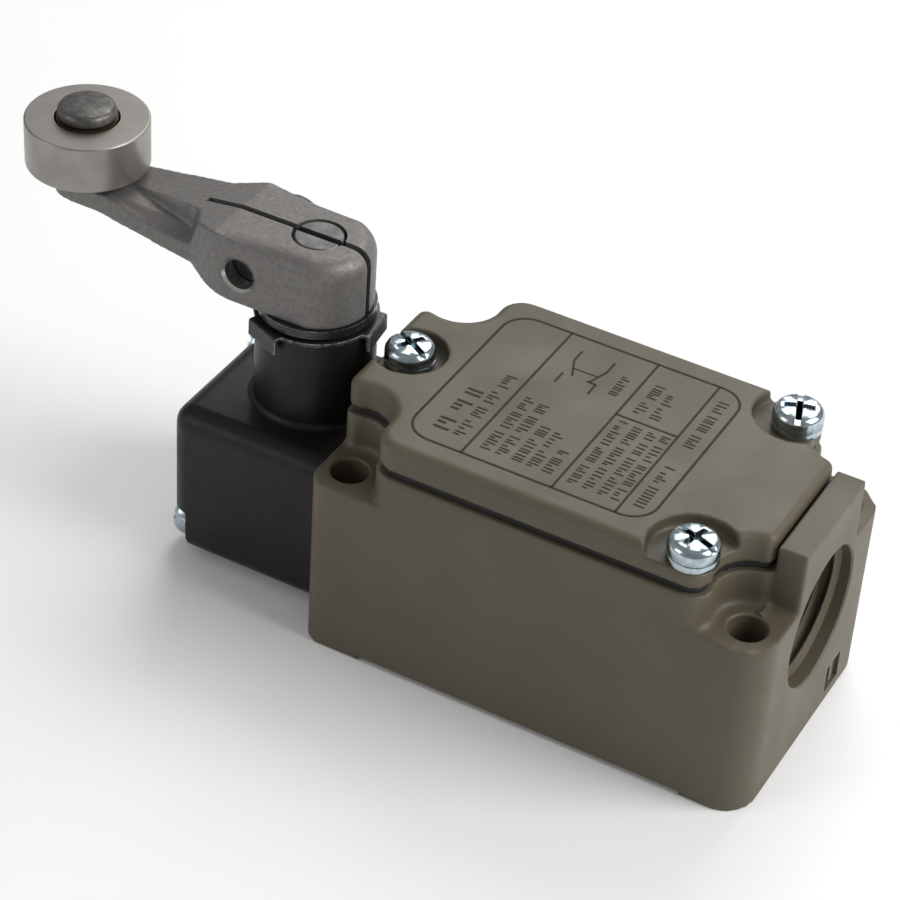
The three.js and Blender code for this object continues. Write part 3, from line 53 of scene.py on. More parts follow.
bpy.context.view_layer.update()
MM = 0.001
SAME = 1e-7  # metres between vertices that are one
WELD = SAME * 10  # the same, after an outline was extruded or spun
CUT_WELD = 2e-6  # the same, after a cut
TOUCHING = 1e-5  # millimetres between an outline's points that are one
NEAR = 0.01  # millimetres that a vertex may stand off a plane
ROUND_ANGLE = 32.0

Point = tuple[float, float]
Spot = tuple[float, float, float]


class Plane(Enum):
    """The plane that an outline is drawn in, by its right and up directions."""

    PLAN = ((1, 0, 0), (0, 1, 0))
    SIDE = ((1, 0, 0), (0, 0, 1))
    END = ((0, 1, 0), (0, 0, 1))

    def place(self, u: float, v: float, depth: float) -> Vector:
        """Turns a point of the outline at a depth along the third axis into metres."""
        right, up = (Vector(a) for a in self.value)
        return (right * u + up * v + self.across() * depth) * MM

    def across(self) -> Vector:
        """The positive axis that the outline is drawn along.

        Returns:
            A unit vector.
        """
        right, up = (Vector(a) for a in self.value)
        cross = right.cross(up)
        return Vector([abs(c) for c in cross])

    def spin_axis(self) -> Vector:
        """The axis about which a positive turn goes from right to up."""
        right, up = (Vector(a) for a in self.value)
        return right.cross(up)


class Join(Enum):
    """How a second solid acts on the first one."""

    ADD = "UNION"
    CUT = "DIFFERENCE"
    KEEP = "INTERSECT"


@dataclass(frozen=True)
class Line:
    """A straight stroke of an outline."""

    to: Point


@dataclass(frozen=True)
class Arc:
    """A round stroke about a centre, from one bearing to another the short way, in degrees."""

    about: Point
    radius: float
    start: float
    end: float
    steps: int = 8

    def point(self, bearing: float) -> Point:
        """The point of the arc's circle at a bearing."""
        a = math.radians(bearing)
        return self.about[0] + self.radius * math.cos(a), self.about[1] + self.radius * math.sin(a)

    def turn(self) -> float:
        """The signed turn in radians."""
        return math.radians((self.end - self.start + 180.0) % 360.0 - 180.0)


Stroke = Line | Arc


# ---------------------------------------------------------------- modelling helpers


def pick(obj: bpy.types.Object) -> bpy.types.Object:
    """Deselects everything and makes one object selected and active.

    Args:
        obj: the object to work on.

    Returns:
        The same object.
    """
    bpy.ops.object.select_all(action="DESELECT")
    obj.select_set(True)
    bpy.context.view_layer.objects.active = obj
    return obj


def edit(obj: bpy.types.Object) -> None:
    """Opens an object in edit mode."""
    pick(obj)
    bpy.ops.object.mode_set(mode="EDIT")


def leave() -> None:
    """Goes back to object mode."""
    bpy.ops.object.mode_set(mode="OBJECT")


def settle(obj: bpy.types.Object) -> bpy.types.Object:
    """Puts an object's place into its mesh, so that it sits at the origin.

    Args:
        obj: the object to work on.

    Returns:
        The same object.
    """
    pick(obj)
    bpy.ops.object.transform_apply(location=True, rotation=True, scale=True)
    return obj


def tidy(obj: bpy.types.Object, gap: float = SAME) -> bpy.types.Object:
    """Merges doubles and turns all faces outwards.

    Args:
        obj: the object to work on.
        gap: the distance under which two vertices become one, in metres.

    Returns:
        The same object.
    """
    edit(obj)
    bpy.ops.mesh.select_all(action="SELECT")
    bpy.ops.mesh.remove_doubles(threshold=gap)
    bpy.ops.mesh.normals_make_consistent(inside=False)
    leave()
    return obj


def outline(
    name: str, plane: Plane, start: Point, strokes: Sequence[Stroke], depth: float
) -> bpy.types.Object:
    """Draws an outline stroke by stroke: a vertex is extruded along lines and spun about centres.

    Args:
        name: the new object's name.
        plane: the plane that it is drawn in.
        start: the first point.
        strokes: the lines and arcs that follow it.
        depth: where the plane stands along its third axis.

    Returns:
        The object, in edit mode, with the last vertex selected.
    """
    bpy.ops.object.select_all(action="DESELECT")
    bpy.ops.mesh.primitive_plane_add(size=MM)
    obj = bpy.context.object
    obj.name = name
    bpy.ops.object.mode_set(mode="EDIT")
    bpy.ops.mesh.select_mode(type="VERT")
    bpy.ops.mesh.select_all(action="SELECT")
    bpy.ops.mesh.merge(type="CENTER")
    bpy.ops.transform.translate(value=plane.place(*start, depth))
    here = start
    for stroke in strokes:
        goal = stroke.to if isinstance(stroke, Line) else stroke.point(stroke.start)
        if math.dist(here, goal) > TOUCHING:
            step = plane.place(*goal, depth) - plane.place(*here, depth)
            bpy.ops.mesh.extrude_region_move(TRANSFORM_OT_translate={"value": step})
        here = goal
        if isinstance(stroke, Arc):
            centre = plane.place(*stroke.about, depth)
            bpy.ops.mesh.spin(
                steps=stroke.steps, angle=-stroke.turn(), center=centre, axis=plane.spin_axis()
            )
            here = stroke.point(stroke.end)
    return obj


def prism(
    name: str, plane: Plane, start: Point, strokes: Sequence[Stroke], low: float, high: float
) -> bpy.types.Object:
    """Draws a closed outline and extrudes it into a solid between two depths.

    Args:
        name: the new object's name.
        plane: the plane that it is drawn in.
        start: the first point.
        strokes: the lines and arcs that follow it.
        low: where the solid starts along the third axis.
        high: where it ends.

    Returns:
        The solid.
    """
    obj = outline(name, plane, start, strokes, low)
    bpy.ops.mesh.select_all(action="SELECT")
    bpy.ops.mesh.remove_doubles(threshold=WELD)
    bpy.ops.mesh.edge_face_add()
    rise = plane.across() * (high - low) * MM
    bpy.ops.mesh.extrude_region_move(TRANSFORM_OT_translate={"value": rise})
    bpy.ops.mesh.select_all(action="SELECT")
    bpy.ops.mesh.normals_make_consistent(inside=False)
    leave()
    return obj


def turned(name: str, profile: Sequence[Stroke], start: Point, steps: int = 64) -> bpy.types.Object:
    """Draws half a section and spins it a full turn about Z through the origin.

    Args:
        name: the new object's name.
        profile: the strokes of the half section.
        start: its first point: a radius and a height.
        steps: the number of flats round it.

    Returns:
        The solid, or an open shell if the half section is open away from the axis.
    """
    obj = outline(name, Plane.SIDE, start, profile, 0.0)
    bpy.ops.mesh.select_all(action="SELECT")
    bpy.ops.mesh.remove_doubles(threshold=WELD)
    bpy.ops.mesh.spin(steps=steps, angle=2 * math.pi, center=(0, 0, 0), axis=(0, 0, 1))
    bpy.ops.mesh.select_all(action="SELECT")
    bpy.ops.mesh.remove_doubles(threshold=WELD)
    bpy.ops.mesh.normals_make_consistent(inside=False)
    leave()
    return obj


def block(name: str, low: Spot, high: Spot) -> bpy.types.Object:
    """A box between two corners.

    Args:
        name: the new object's name.
        low: the lowest corner.
        high: the highest corner.

    Returns:
        The box, with its place in its mesh.
    """
    size = [b - a for a, b in zip(low, high)]
    middle = [(a + b) / 2 * MM for a, b in zip(low, high)]
    bpy.ops.object.select_all(action="DESELECT")
    bpy.ops.mesh.primitive_cube_add(size=MM, location=middle, scale=size)
    obj = bpy.context.object
    obj.name = name
    return settle(obj)


def rod(
    name: str, axis: str, at: Point, radius: float, low: float, high: float, sides: int = 48
) -> bpy.types.Object:
    """A round bar along X, Y or Z between two places on that axis.

    Args:
        name: the new object's name.
        axis: "X", "Y" or "Z".
        at: the axis' place in the other two directions, in the order of the alphabet.
        radius: the bar's radius.
        low: where it starts along the axis.
        high: where it ends.
        sides: the number of flats round it.

    Returns:
        The bar, with its place in its mesh.
    """
    turns = {"X": (0, math.pi / 2, 0), "Y": (math.pi / 2, 0, 0), "Z": (0, 0, 0)}
    middle = (low + high) / 2
    spots = {"X": (middle, *at), "Y": (at[0], middle, at[1]), "Z": (*at, middle)}
    bpy.ops.object.select_all(action="DESELECT")
    bpy.ops.mesh.primitive_cylinder_add(
        vertices=sides,
        radius=radius * MM,
        depth=(high - low) * MM,
        location=Vector(spots[axis]) * MM,
        rotation=turns[axis],
    )
    obj = bpy.context.object
    obj.name = name
    return settle(obj)


def combine(target: bpy.types.Object, how: Join, *tools: bpy.types.Object) -> bpy.types.Object:
    """Adds, cuts or intersects solids with the first one, and removes them.

    Args:
        target: the first solid.
        how: what the others do to it.
        tools: the other solids, which are removed.

    Returns:
        The first solid.
    """
    for tool in tools:
        pick(target)
        modifier = target.modifiers.new("combine", "BOOLEAN")
        modifier.operation = how.value
        modifier.solver = "EXACT"
        modifier.object = tool
        bpy.ops.object.modifier_apply(modifier=modifier.name)
        bpy.data.objects.remove(tool)
    return target


def flatten(obj: bpy.types.Object, angle: float = 0.5) -> bpy.types.Object:
    """Clears the lines that cuts leave on flat faces.

    Args:
        obj: the object to work on.
        angle: the largest angle in degrees between faces that are made one.

    Returns:
        The same object.
    """
    edit(obj)
    bpy.ops.mesh.select_all(action="SELECT")
    bpy.ops.mesh.remove_doubles(threshold=CUT_WELD)
    bpy.ops.mesh.dissolve_limited(angle_limit=math.radians(angle))
    leave()
    return obj


def bevel_edges(
    obj: bpy.types.Object, test: Callable[[Vector, Vector], bool], width: float, segments: int
) -> bpy.types.Object:
    """Rounds the edges whose two ends, in millimetres, pass a test.

    Args:
        obj: the object to work on.
        test: what picks them.
        width: the width of the round.
        segments: the number of faces across it.

    Returns:
        The same object.
    """
    edit(obj)
    bpy.ops.mesh.select_mode(type="EDGE")
    bpy.ops.mesh.select_all(action="DESELECT")
    leave()
    mesh = obj.data
    places = [v.co / MM for v in mesh.vertices]
    for e in mesh.edges:
        e.select = test(places[e.vertices[0]], places[e.vertices[1]])
    bpy.ops.object.mode_set(mode="EDIT")
    bpy.ops.mesh.bevel(offset=width * MM, segments=segments, affect="EDGES", clamp_overlap=False)
    leave()
    return obj


def soften(
    obj: bpy.types.Object, width: float, segments: int = 3, angle: float = ROUND_ANGLE
) -> bpy.types.Object:
    """Rounds every edge sharper than an angle.

    Args:
        obj: the object to work on.
        width: the width of the round.
        segments: the number of faces across it.
        angle: the angle in degrees above which an edge counts as sharp.

    Returns:
        The same object.
    """
    pick(obj)
    modifier = obj.modifiers.new("soften", "BEVEL")
    modifier.width = width * MM
    modifier.segments = segments
    modifier.limit_method = "ANGLE"
    modifier.angle_limit = math.radians(angle)
    modifier.miter_outer = "MITER_ARC"
    modifier.use_clamp_overlap = False
    bpy.ops.object.modifier_apply(modifier=modifier.name)
    return obj


def shade(obj: bpy.types.Object, angle: float = ROUND_ANGLE) -> bpy.types.Object:
    """Shades curved runs of faces smooth and keeps flat ones flat.

    Args:
        obj: the object to work on.
        angle: the angle in degrees above which an edge stays sharp.

    Returns:
        The same object.
    """
    pick(obj)
    bpy.ops.object.shade_smooth_by_angle(angle=math.radians(angle))
    modifier = obj.modifiers.new("weigh", "WEIGHTED_NORMAL")
    modifier.keep_sharp = True
    bpy.ops.object.modifier_apply(modifier=modifier.name)
    return obj


def cast(obj: bpy.types.Object, grain: float, passes: int) -> bpy.types.Object:
    """Rebuilds a solid with even small faces and rounds its inner and outer corners a little.

    Args:
        obj: the object to work on.
        grain: the size of the small faces.
        passes: how often they are smoothed.

    Returns:
        The same object.
    """
    pick(obj)
    modifier = obj.modifiers.new("even", "REMESH")
    modifier.mode = "VOXEL"
    modifier.voxel_size = grain * MM
    bpy.ops.object.modifier_apply(modifier=modifier.name)
    modifier = obj.modifiers.new("smooth", "SMOOTH")
    modifier.factor = 0.5
    modifier.iterations = passes
    bpy.ops.object.modifier_apply(modifier=modifier.name)
    return obj


def hold_inside(obj: bpy.types.Object, low: Spot, high: Spot) -> bpy.types.Object:
    """Presses what the smoothing pushed out of a box flat onto the box, side by side.

    Args:
        obj: the solid.
        low: the box's lowest corner, in millimetres.
        high: its highest corner.

    Returns:
        The same object.
    """
    edit(obj)
    bpy.ops.mesh.select_mode(type="VERT")
    for axis in range(3):
        flat = [0.0 if k == axis else 1.0 for k in range(3)]
        for corner, outwards in ((Vector(low) * MM, -1), (Vector(high) * MM, 1)):
            bpy.ops.mesh.select_all(action="DESELECT")
            leave()
            past = [(v.co[axis] - corner[axis]) * outwards > 0 for v in obj.data.vertices]
            obj.data.vertices.foreach_set("select", past)
            bpy.ops.object.mode_set(mode="EDIT")
            if any(past):
                bpy.ops.transform.resize(value=flat, center_override=corner)
    leave()
    return obj


def thin_out(obj: bpy.types.Object, share: float) -> bpy.types.Object:
    """Keeps a share of the faces, most of them on the rounds.

    Args:
        obj: the object to work on.
        share: the share of the faces that is kept.

    Returns:
        The same object.
    """
    pick(obj)
    modifier = obj.modifiers.new("thin", "DECIMATE")
    modifier.decimate_type = "COLLAPSE"
    modifier.ratio = share
    bpy.ops.object.modifier_apply(modifier=modifier.name)
    return obj


def slide(obj: bpy.types.Object, test: Callable[[Vector], bool], shift: Spot) -> bpy.types.Object:
    """Moves the vertices whose place, in millimetres, passes a test.

    Args:
        obj: the object to work on.
        test: what picks them.
        shift: how far they move.

    Returns:
        The same object.
    """
    edit(obj)
    bpy.ops.mesh.select_mode(type="VERT")
    bpy.ops.mesh.select_all(action="DESELECT")
    leave()
    for v in obj.data.vertices:
        v.select = test(v.co / MM)
    bpy.ops.object.mode_set(mode="EDIT")
    bpy.ops.transform.translate(value=Vector(shift) * MM)
    leave()
    return obj


def copy_of(obj: bpy.types.Object, name: str, matrix: Matrix) -> bpy.types.Object:
    """A copy with its own mesh, moved by a matrix whose place is in millimetres.

    Args:
        obj: what is copied.
        name: the copy's name.
        matrix: the move, with its place in millimetres.

    Returns:
        The copy.
    """
    twin = obj.copy()
    twin.data = obj.data.copy()
    twin.name = name
    bpy.context.scene.collection.objects.link(twin)
    metres = matrix.copy()
    metres.translation = matrix.translation * MM
    twin.data.transform(metres)
    return twin


def merge(name: str, first: bpy.types.Object, *others: bpy.types.Object) -> bpy.types.Object:
    """Joins objects into one.

    Args:
        name: the joined object's name.
        first: the object that the others join.
        others: the other objects.

    Returns:
        The first object.
    """
    pick(first)
    for other in others:
        other.select_set(True)
    bpy.ops.object.join()
    first.name = name
    return first


# ---------------------------------------------------------------- finishes

Colour = tuple[float, float, float]


class Grain(Enum):
    """The fine relief of a surface."""

    CAST = "cast"
    TURNED = "turned"
    PLAIN = "plain"


class NodeBench:
    """Adds and joins the nodes of one material."""

    def __init__(self, name: str) -> None:
        """Starts a material that holds only a shader and an output.

        Args:
            name: the material's name.
        """
        self.material = bpy.data.materials.new(name)
        self.material.use_nodes = True
        self.tree = self.material.node_tree
        self.shader = self.tree.nodes["Principled BSDF"]
        self.place = self.add("ShaderNodeTexCoord").outputs["Object"]

    def add(self, kind: str, **settings: object) -> bpy.types.Node:
        """Adds a node and sets its own options.

        Args:
            kind: Blender's name for the node.
            settings: its own options.

        Returns:
            The node.
        """
        node = self.tree.nodes.new(kind)
        for key, value in settings.items():
            setattr(node, key, value)
        return node

    def feed(self, node: bpy.types.Node, **inputs: object) -> bpy.types.Node:
        """Sets or joins a node's inputs by name, with spaces for underscores.

        Args:
            node: the node to feed.
            inputs: the values or sockets, by input name.

        Returns:
            The same node.
        """
        for key, value in inputs.items():
            socket = node.inputs[key.replace("_", " ")]
            if isinstance(value, bpy.types.NodeSocket):
                self.tree.links.new(value, socket)
            else:
                socket.default_value = value
        return node

    def noise(self, size: float, detail: float = 3.0, roughness: float = 0.55) -> object:
        """Cloudy noise whose features are about as large as a size in millimetres.

        Args:
            size: the size of its features.
            detail: the number of finer layers.
            roughness: how strong those are.

        Returns:
            A value from 0 to 1.
        """
        node = self.add("ShaderNodeTexNoise")
        self.feed(node, Vector=self.place, Scale=1 / (size * MM), Detail=detail, Roughness=roughness)
        return node.outputs["Fac"]

    def spread(self, value: object, low: float, high: float, to_low: float, to_high: float) -> object:
        """Maps one span of a value to another and holds it there.

        Args:
            value: what is mapped.
            low: where the first span starts.
            high: where it ends.
            to_low: where the other span starts.
            to_high: where it ends.

        Returns:
            The mapped value.
        """
        node = self.add("ShaderNodeMapRange", clamp=True)
        self.feed(node, Value=value, From_Min=low, From_Max=high, To_Min=to_low, To_Max=to_high)
        return node.outputs["Result"]

    def maths(self, operation: str, first: object, second: object = 0.0) -> object:
        """Does one sum.

        Args:
            operation: Blender's name for the sum.
            first: the first value or socket.
            second: the second one.

        Returns:
            The result.
        """
        node = self.add("ShaderNodeMath", operation=operation)
        for socket, value in zip(node.inputs, (first, second)):
            if isinstance(value, bpy.types.NodeSocket):
                self.tree.links.new(value, socket)
            else:
                socket.default_value = value
        return node.outputs[0]

    def mix(self, share: object, first: object, second: object) -> object:
        """Mixes two colours.

        Args:
            share: the second colour's share.
            first: the first colour.
            second: the second colour.

        Returns:
            The mixed colour.
        """
        node = self.add("ShaderNodeMix", data_type="RGBA")
        for index, value in ((0, share), (6, first), (7, second)):
            if isinstance(value, bpy.types.NodeSocket):
                self.tree.links.new(value, node.inputs[index])
            else:
                node.inputs[index].default_value = value
        return node.outputs[2]

    def edges(self, width: float) -> object:
        """How strongly a place lies on an outer edge, from 0 to 1.

        Args:
            width: how far an edge reaches into its faces.

        Returns:
            The strength.
        """
        bevel = self.feed(self.add("ShaderNodeBevel", samples=4), Radius=width * MM)
        plain = self.add("ShaderNodeNewGeometry")
        dot = self.add("ShaderNodeVectorMath", operation="DOT_PRODUCT")
        self.tree.links.new(bevel.outputs["Normal"], dot.inputs[0])
        self.tree.links.new(plain.outputs["Normal"], dot.inputs[1])
        return self.spread(dot.outputs["Value"], 0.998, 0.9, 0.0, 1.0)

    def around(self, centre: Spot) -> bpy.types.Node:
        """The place seen from a point, as a node whose outputs are X, Y and Z.

        Args:
            centre: the point, in millimetres.

        Returns:
            The node.
        """
        shift = self.add("ShaderNodeVectorMath", operation="SUBTRACT")
        self.tree.links.new(self.place, shift.inputs[0])
        shift.inputs[1].default_value = [c * MM for c in centre]
        split = self.add("ShaderNodeSeparateXYZ")
        self.tree.links.new(shift.outputs[0], split.inputs[0])
        return split

    def bump(self, height: object, depth: float, under: object = None) -> object:
        """Relief of a depth in millimetres, on top of another relief if there is one.

        Args:
            height: the relief as a value.
            depth: its depth.
            under: the normal of the other relief.

        Returns:
            The new normal.
        """
        node = self.feed(self.add("ShaderNodeBump"), Height=height, Distance=depth * MM, Strength=1.0)
        if under is not None:
            self.tree.links.new(under, node.inputs["Normal"])
        return node.outputs["Normal"]


def rgba(colour: Colour) -> tuple[float, float, float, float]:
    """A colour with full cover."""
    return (*colour, 1.0)


@dataclass(frozen=True)
class Finish:
    """A finish: two tones in soft patches, fine grain, painted glints, and lighter edges that paint
    highlights as well as wear.

    Sizes are in millimetres, and colours are linear.
    """

    name: str
    slot: str
    light: Colour
    dark: Colour
    metallic: float = 0.0
    rough: tuple[float, float] = (0.45, 0.6)
    patch: float = 6.0
    grain: float = 0.35
    relief: float = 0.01
    speck: float = 0.0
    painted_glint: float = 0.0
    gloss: float = 0.5
    worn_and_highlit_edge: Colour | None = None
    worn_and_highlit_reach: float = 0.4
    style: Grain = Grain.CAST
    centre: Spot = (0.0, 0.0, 0.0)
    pitch: float = 0.16

    def material(self) -> bpy.types.Material:
        """The Blender material, made once."""
        found = bpy.data.materials.get(f"{self.name}_look")
        return found or self.build()

    def build(self) -> bpy.types.Material:
        """Makes the node tree.

        Returns:
            The material.
        """
        bench = NodeBench(f"{self.name}_look")
        cloud = bench.noise(self.patch, 4.0)
        fine = bench.noise(self.grain, 4.0, 0.6)
        colour = bench.mix(bench.spread(cloud, 0.35, 0.65, 0.0, 1.0), rgba(self.light), rgba(self.dark))
        if self.speck > 0:
            dots = bench.spread(fine, 0.56, 0.7, 0.0, self.speck)
            colour = bench.mix(dots, colour, rgba(tuple(c * 0.35 for c in self.dark)))
        if self.painted_glint > 0:
            # Painted glints: bright specks mixed into the colour where light would catch the grains.
            glints = bench.spread(bench.noise(self.grain * 1.3, 5.0, 0.7), 0.6, 0.7, 0.0, self.painted_glint)
            colour = bench.mix(glints, colour, rgba(tuple(c * 2.2 for c in self.light)))
        relief = bench.bump(fine, self.relief)
        roughness = bench.spread(cloud, 0.3, 0.7, *self.rough)
        if self.style is Grain.TURNED:
            rings = self.rings(bench)
            relief = bench.bump(rings, self.relief, relief)
            roughness = bench.maths("ADD", roughness, bench.spread(rings, 0.3, 0.7, -0.05, 0.07))
        # Painted highlight and wear: edges found by the bevel normal are mixed towards a lighter edge
        # colour, broken up by noise.
        if self.worn_and_highlit_edge is not None:
            edge_breakup = bench.spread(bench.noise(0.8, 5.0), 0.4, 0.62, 0.15, 1.0)
            edge = bench.maths("MULTIPLY", bench.edges(self.worn_and_highlit_reach), edge_breakup)
            colour = bench.mix(edge, colour, rgba(self.worn_and_highlit_edge))
        bench.feed(bench.shader, Base_Color=colour, Roughness=roughness, Normal=relief)
        bench.feed(bench.shader, Metallic=self.metallic, Specular_IOR_Level=self.gloss)
        return bench.material

    def rings(self, bench: NodeBench) -> object:
        """Fine tool marks round an upright axis: rings on flat ends and lines on round sides.

        Args:
            bench: where the nodes are made.

        Returns:
            A value from 0 to 1.
        """
        split = bench.around(self.centre)
        square = [bench.maths("MULTIPLY", split.outputs[i], split.outputs[i]) for i in (0, 1)]
        radius = bench.maths("SQRT", bench.maths("ADD", *square))
        travel = bench.maths("ADD", radius, split.outputs[2])
        marks = bench.add("ShaderNodeTexNoise", noise_dimensions="1D")
        bench.feed(marks, W=travel, Scale=1 / (self.pitch * MM), Detail=3.0, Roughness=0.7)
        return marks.outputs["Fac"]

    def dress(self, obj: bpy.types.Object) -> bpy.types.Object:
        """Gives an object this finish alone.

        Args:
            obj: the object.

        Returns:
            The same object.
        """
        obj.data.materials.clear()
        obj.data.materials.append(self.material())
        return obj


KHAKI = Finish(
    "painted_casting", "painted_casting", (0.097, 0.082, 0.056), (0.091, 0.0765, 0.052), gloss=0.36,
    rough=(0.42, 0.54), patch=9.0, grain=0.22, relief=0.006, worn_and_highlit_edge=(0.14, 0.121, 0.086), worn_and_highlit_reach=0.35,
)
BLACK_CAST = Finish(
    "black_casting", "black_casting", (0.01, 0.0095, 0.0085), (0.007, 0.0067, 0.006), gloss=0.26,
    rough=(0.34, 0.46), patch=5.0, grain=0.3, relief=0.006, worn_and_highlit_edge=(0.035, 0.034, 0.032), worn_and_highlit_reach=0.3,
)
BLACK_STEEL = Finish(
    "black_steel", "black_steel", (0.02, 0.0195, 0.019), (0.012, 0.012, 0.0118),
    metallic=0.3, rough=(0.26, 0.4), patch=2.5, grain=0.12, relief=0.003, worn_and_highlit_edge=(0.6, 0.58, 0.54), worn_and_highlit_reach=0.26,
)
RUBBER = Finish(
    "rubber", "rubber", (0.012, 0.012, 0.012), (0.008, 0.008, 0.008),
    rough=(0.7, 0.85), patch=3.0, grain=0.15, relief=0.01,
)
ZINC = Finish(
    "zinc_steel", "zinc_steel", (0.5, 0.56, 0.59), (0.3, 0.37, 0.41),
    metallic=1.0, rough=(0.12, 0.26), patch=0.9, grain=0.14, relief=0.006, worn_and_highlit_edge=(0.85, 0.88, 0.9), worn_and_highlit_reach=0.1,
)
RAW_CAST = Finish(
    "raw_casting", "raw_casting", (0.17, 0.161, 0.153), (0.145, 0.138, 0.132),
    metallic=0.45, rough=(0.4, 0.56), patch=0.8, grain=0.24, relief=0.05, speck=0.55, painted_glint=0.7,
    worn_and_highlit_edge=(0.25, 0.243, 0.237), worn_and_highlit_reach=0.3,
)
ROLLER_STEEL = Finish(
    "roller_steel", "machined_steel", (0.31, 0.295, 0.27), (0.265, 0.25, 0.23),
    metallic=0.85, rough=(0.33, 0.42), patch=4.0, grain=0.25, relief=0.0015, style=Grain.TURNED,
    centre=(-81.6, 0.0, 54.0), worn_and_highlit_edge=(0.5, 0.48, 0.45), worn_and_highlit_reach=0.12,
)
SHAFT_STEEL = Finish(
    "shaft_steel", "machined_steel", (0.15, 0.145, 0.14), (0.11, 0.107, 0.104),
    metallic=0.8, rough=(0.34, 0.46), patch=2.0, grain=0.25, relief=0.003, style=Grain.TURNED,
    centre=(-44.1, 0.0, 45.0), worn_and_highlit_edge=(0.5, 0.49, 0.47), worn_and_highlit_reach=0.12,
)
# Painted shade: the collar under the hub gets a much darker copy of the machined steel than the shaft and
# the roller.
COLLAR_STEEL_IN_SHADE = Finish(
    "collar_steel_shaded", "machined_steel", (0.06, 0.058, 0.055), (0.04, 0.039, 0.037),
    metallic=0.8, rough=(0.22, 0.36), patch=2.0, grain=0.25, relief=0.003, style=Grain.TURNED,
    centre=(-44.1, 0.0, 45.0), worn_and_highlit_edge=(0.6, 0.59, 0.57), worn_and_highlit_reach=0.12,
)
CUT_METAL = Finish(
    "cut_metal", "raw_casting", (0.6, 0.59, 0.56), (0.5, 0.49, 0.47),
    metallic=0.9, rough=(0.22, 0.34), patch=1.0, grain=0.2, relief=0.003,
)
RIVET_STEEL = Finish(
    "rivet_steel", "dark_steel", (0.14, 0.133, 0.125), (0.075, 0.072, 0.068),
    metallic=0.7, rough=(0.34, 0.52), patch=1.0, grain=0.4, relief=0.03, worn_and_highlit_edge=(0.26, 0.25, 0.24), worn_and_highlit_reach=0.25,
)
DARK_STEEL = Finish(
    "dark_steel", "dark_steel", (0.06, 0.058, 0.056), (0.04, 0.039, 0.038),
    metallic=0.9, rough=(0.32, 0.48), patch=1.5, grain=0.25, relief=0.01, worn_and_highlit_edge=(0.3, 0.3, 0.3), worn_and_highlit_reach=0.15,
)
# Painted shade: the bronze is darkened well below its own tone so the bushing reads dark in the gap round
# the roller pin.
BRONZE_IN_SHADE = Finish(
    "bronze", "bronze", (0.13, 0.085, 0.05), (0.09, 0.06, 0.036),
    metallic=0.8, rough=(0.4, 0.55), patch=1.5, grain=0.15, relief=0.006,
)
BRASS = Finish(
    "brass", "brass", (0.6, 0.42, 0.14), (0.5, 0.34, 0.11),
    metallic=1.0, rough=(0.22, 0.36), patch=2.0, grain=0.2, relief=0.004,
)
SPRING_STEEL = Finish(
    "spring_steel", "spring_steel", (0.4, 0.4, 0.39), (0.3, 0.3, 0.295),
    metallic=1.0, rough=(0.22, 0.34), patch=1.0, grain=0.2, relief=0.004,
)
PHENOLIC = Finish(
    "phenolic", "phenolic", (0.03, 0.018, 0.012), (0.02, 0.012, 0.009),
    rough=(0.35, 0.5), patch=2.5, grain=0.3, relief=0.008,
)
WHITE_RESIN = Finish(
    "white_resin", "white_resin", (0.68, 0.65, 0.57), (0.6, 0.57, 0.5),
    rough=(0.35, 0.5), patch=4.0, grain=0.3, relief=0.006,
)
SILVER = Finish(
    "silver", "silver", (0.78, 0.77, 0.75), (0.66, 0.65, 0.63),
    metallic=1.0, rough=(0.15, 0.28), patch=1.0, grain=0.2, relief=0.003,
)
INK = Finish(
    "print_ink", "black_casting", (0.009, 0.0085, 0.008), (0.016, 0.015, 0.0135), gloss=0.25,
    rough=(0.5, 0.65), patch=0.7, grain=0.12, relief=0.002,
)
FLOOR = Finish(
    "floor", "white_resin", (0.92, 0.92, 0.915), (0.91, 0.91, 0.905),
    rough=(0.75, 0.85), patch=90.0, grain=3.0, relief=0.0,
)
FINISH_OF_SLOT = {
    "painted_casting": KHAKI, "black_casting": BLACK_CAST, "black_steel": BLACK_STEEL, "rubber": RUBBER,
    "zinc_steel": ZINC, "raw_casting": RAW_CAST, "machined_steel": SHAFT_STEEL, "dark_steel": DARK_STEEL,
    "bronze": BRONZE_IN_SHADE, "brass": BRASS, "spring_steel": SPRING_STEEL, "phenolic": PHENOLIC,
    "white_resin": WHITE_RESIN, "silver": SILVER,
}


def mount(obj: bpy.types.Object, finish: Finish, body: str, *nodes: str) -> bpy.types.Object:
    """Dresses a piece, lets it ride on a body and stand for CAD nodes, and reports it.

    Args:
        obj: the piece.
        finish: what it is made of.
        body: the body that it rides on.
        nodes: the CAD nodes that it stands for.

    Returns:
        The piece.
    """
    finish.dress(obj)
    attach(obj, body)
    if nodes:
        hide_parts(*nodes)
    LOG.info("%s: %d faces on %s", obj.name, len(obj.data.polygons), body)
    return obj


# ---------------------------------------------------------------- housing


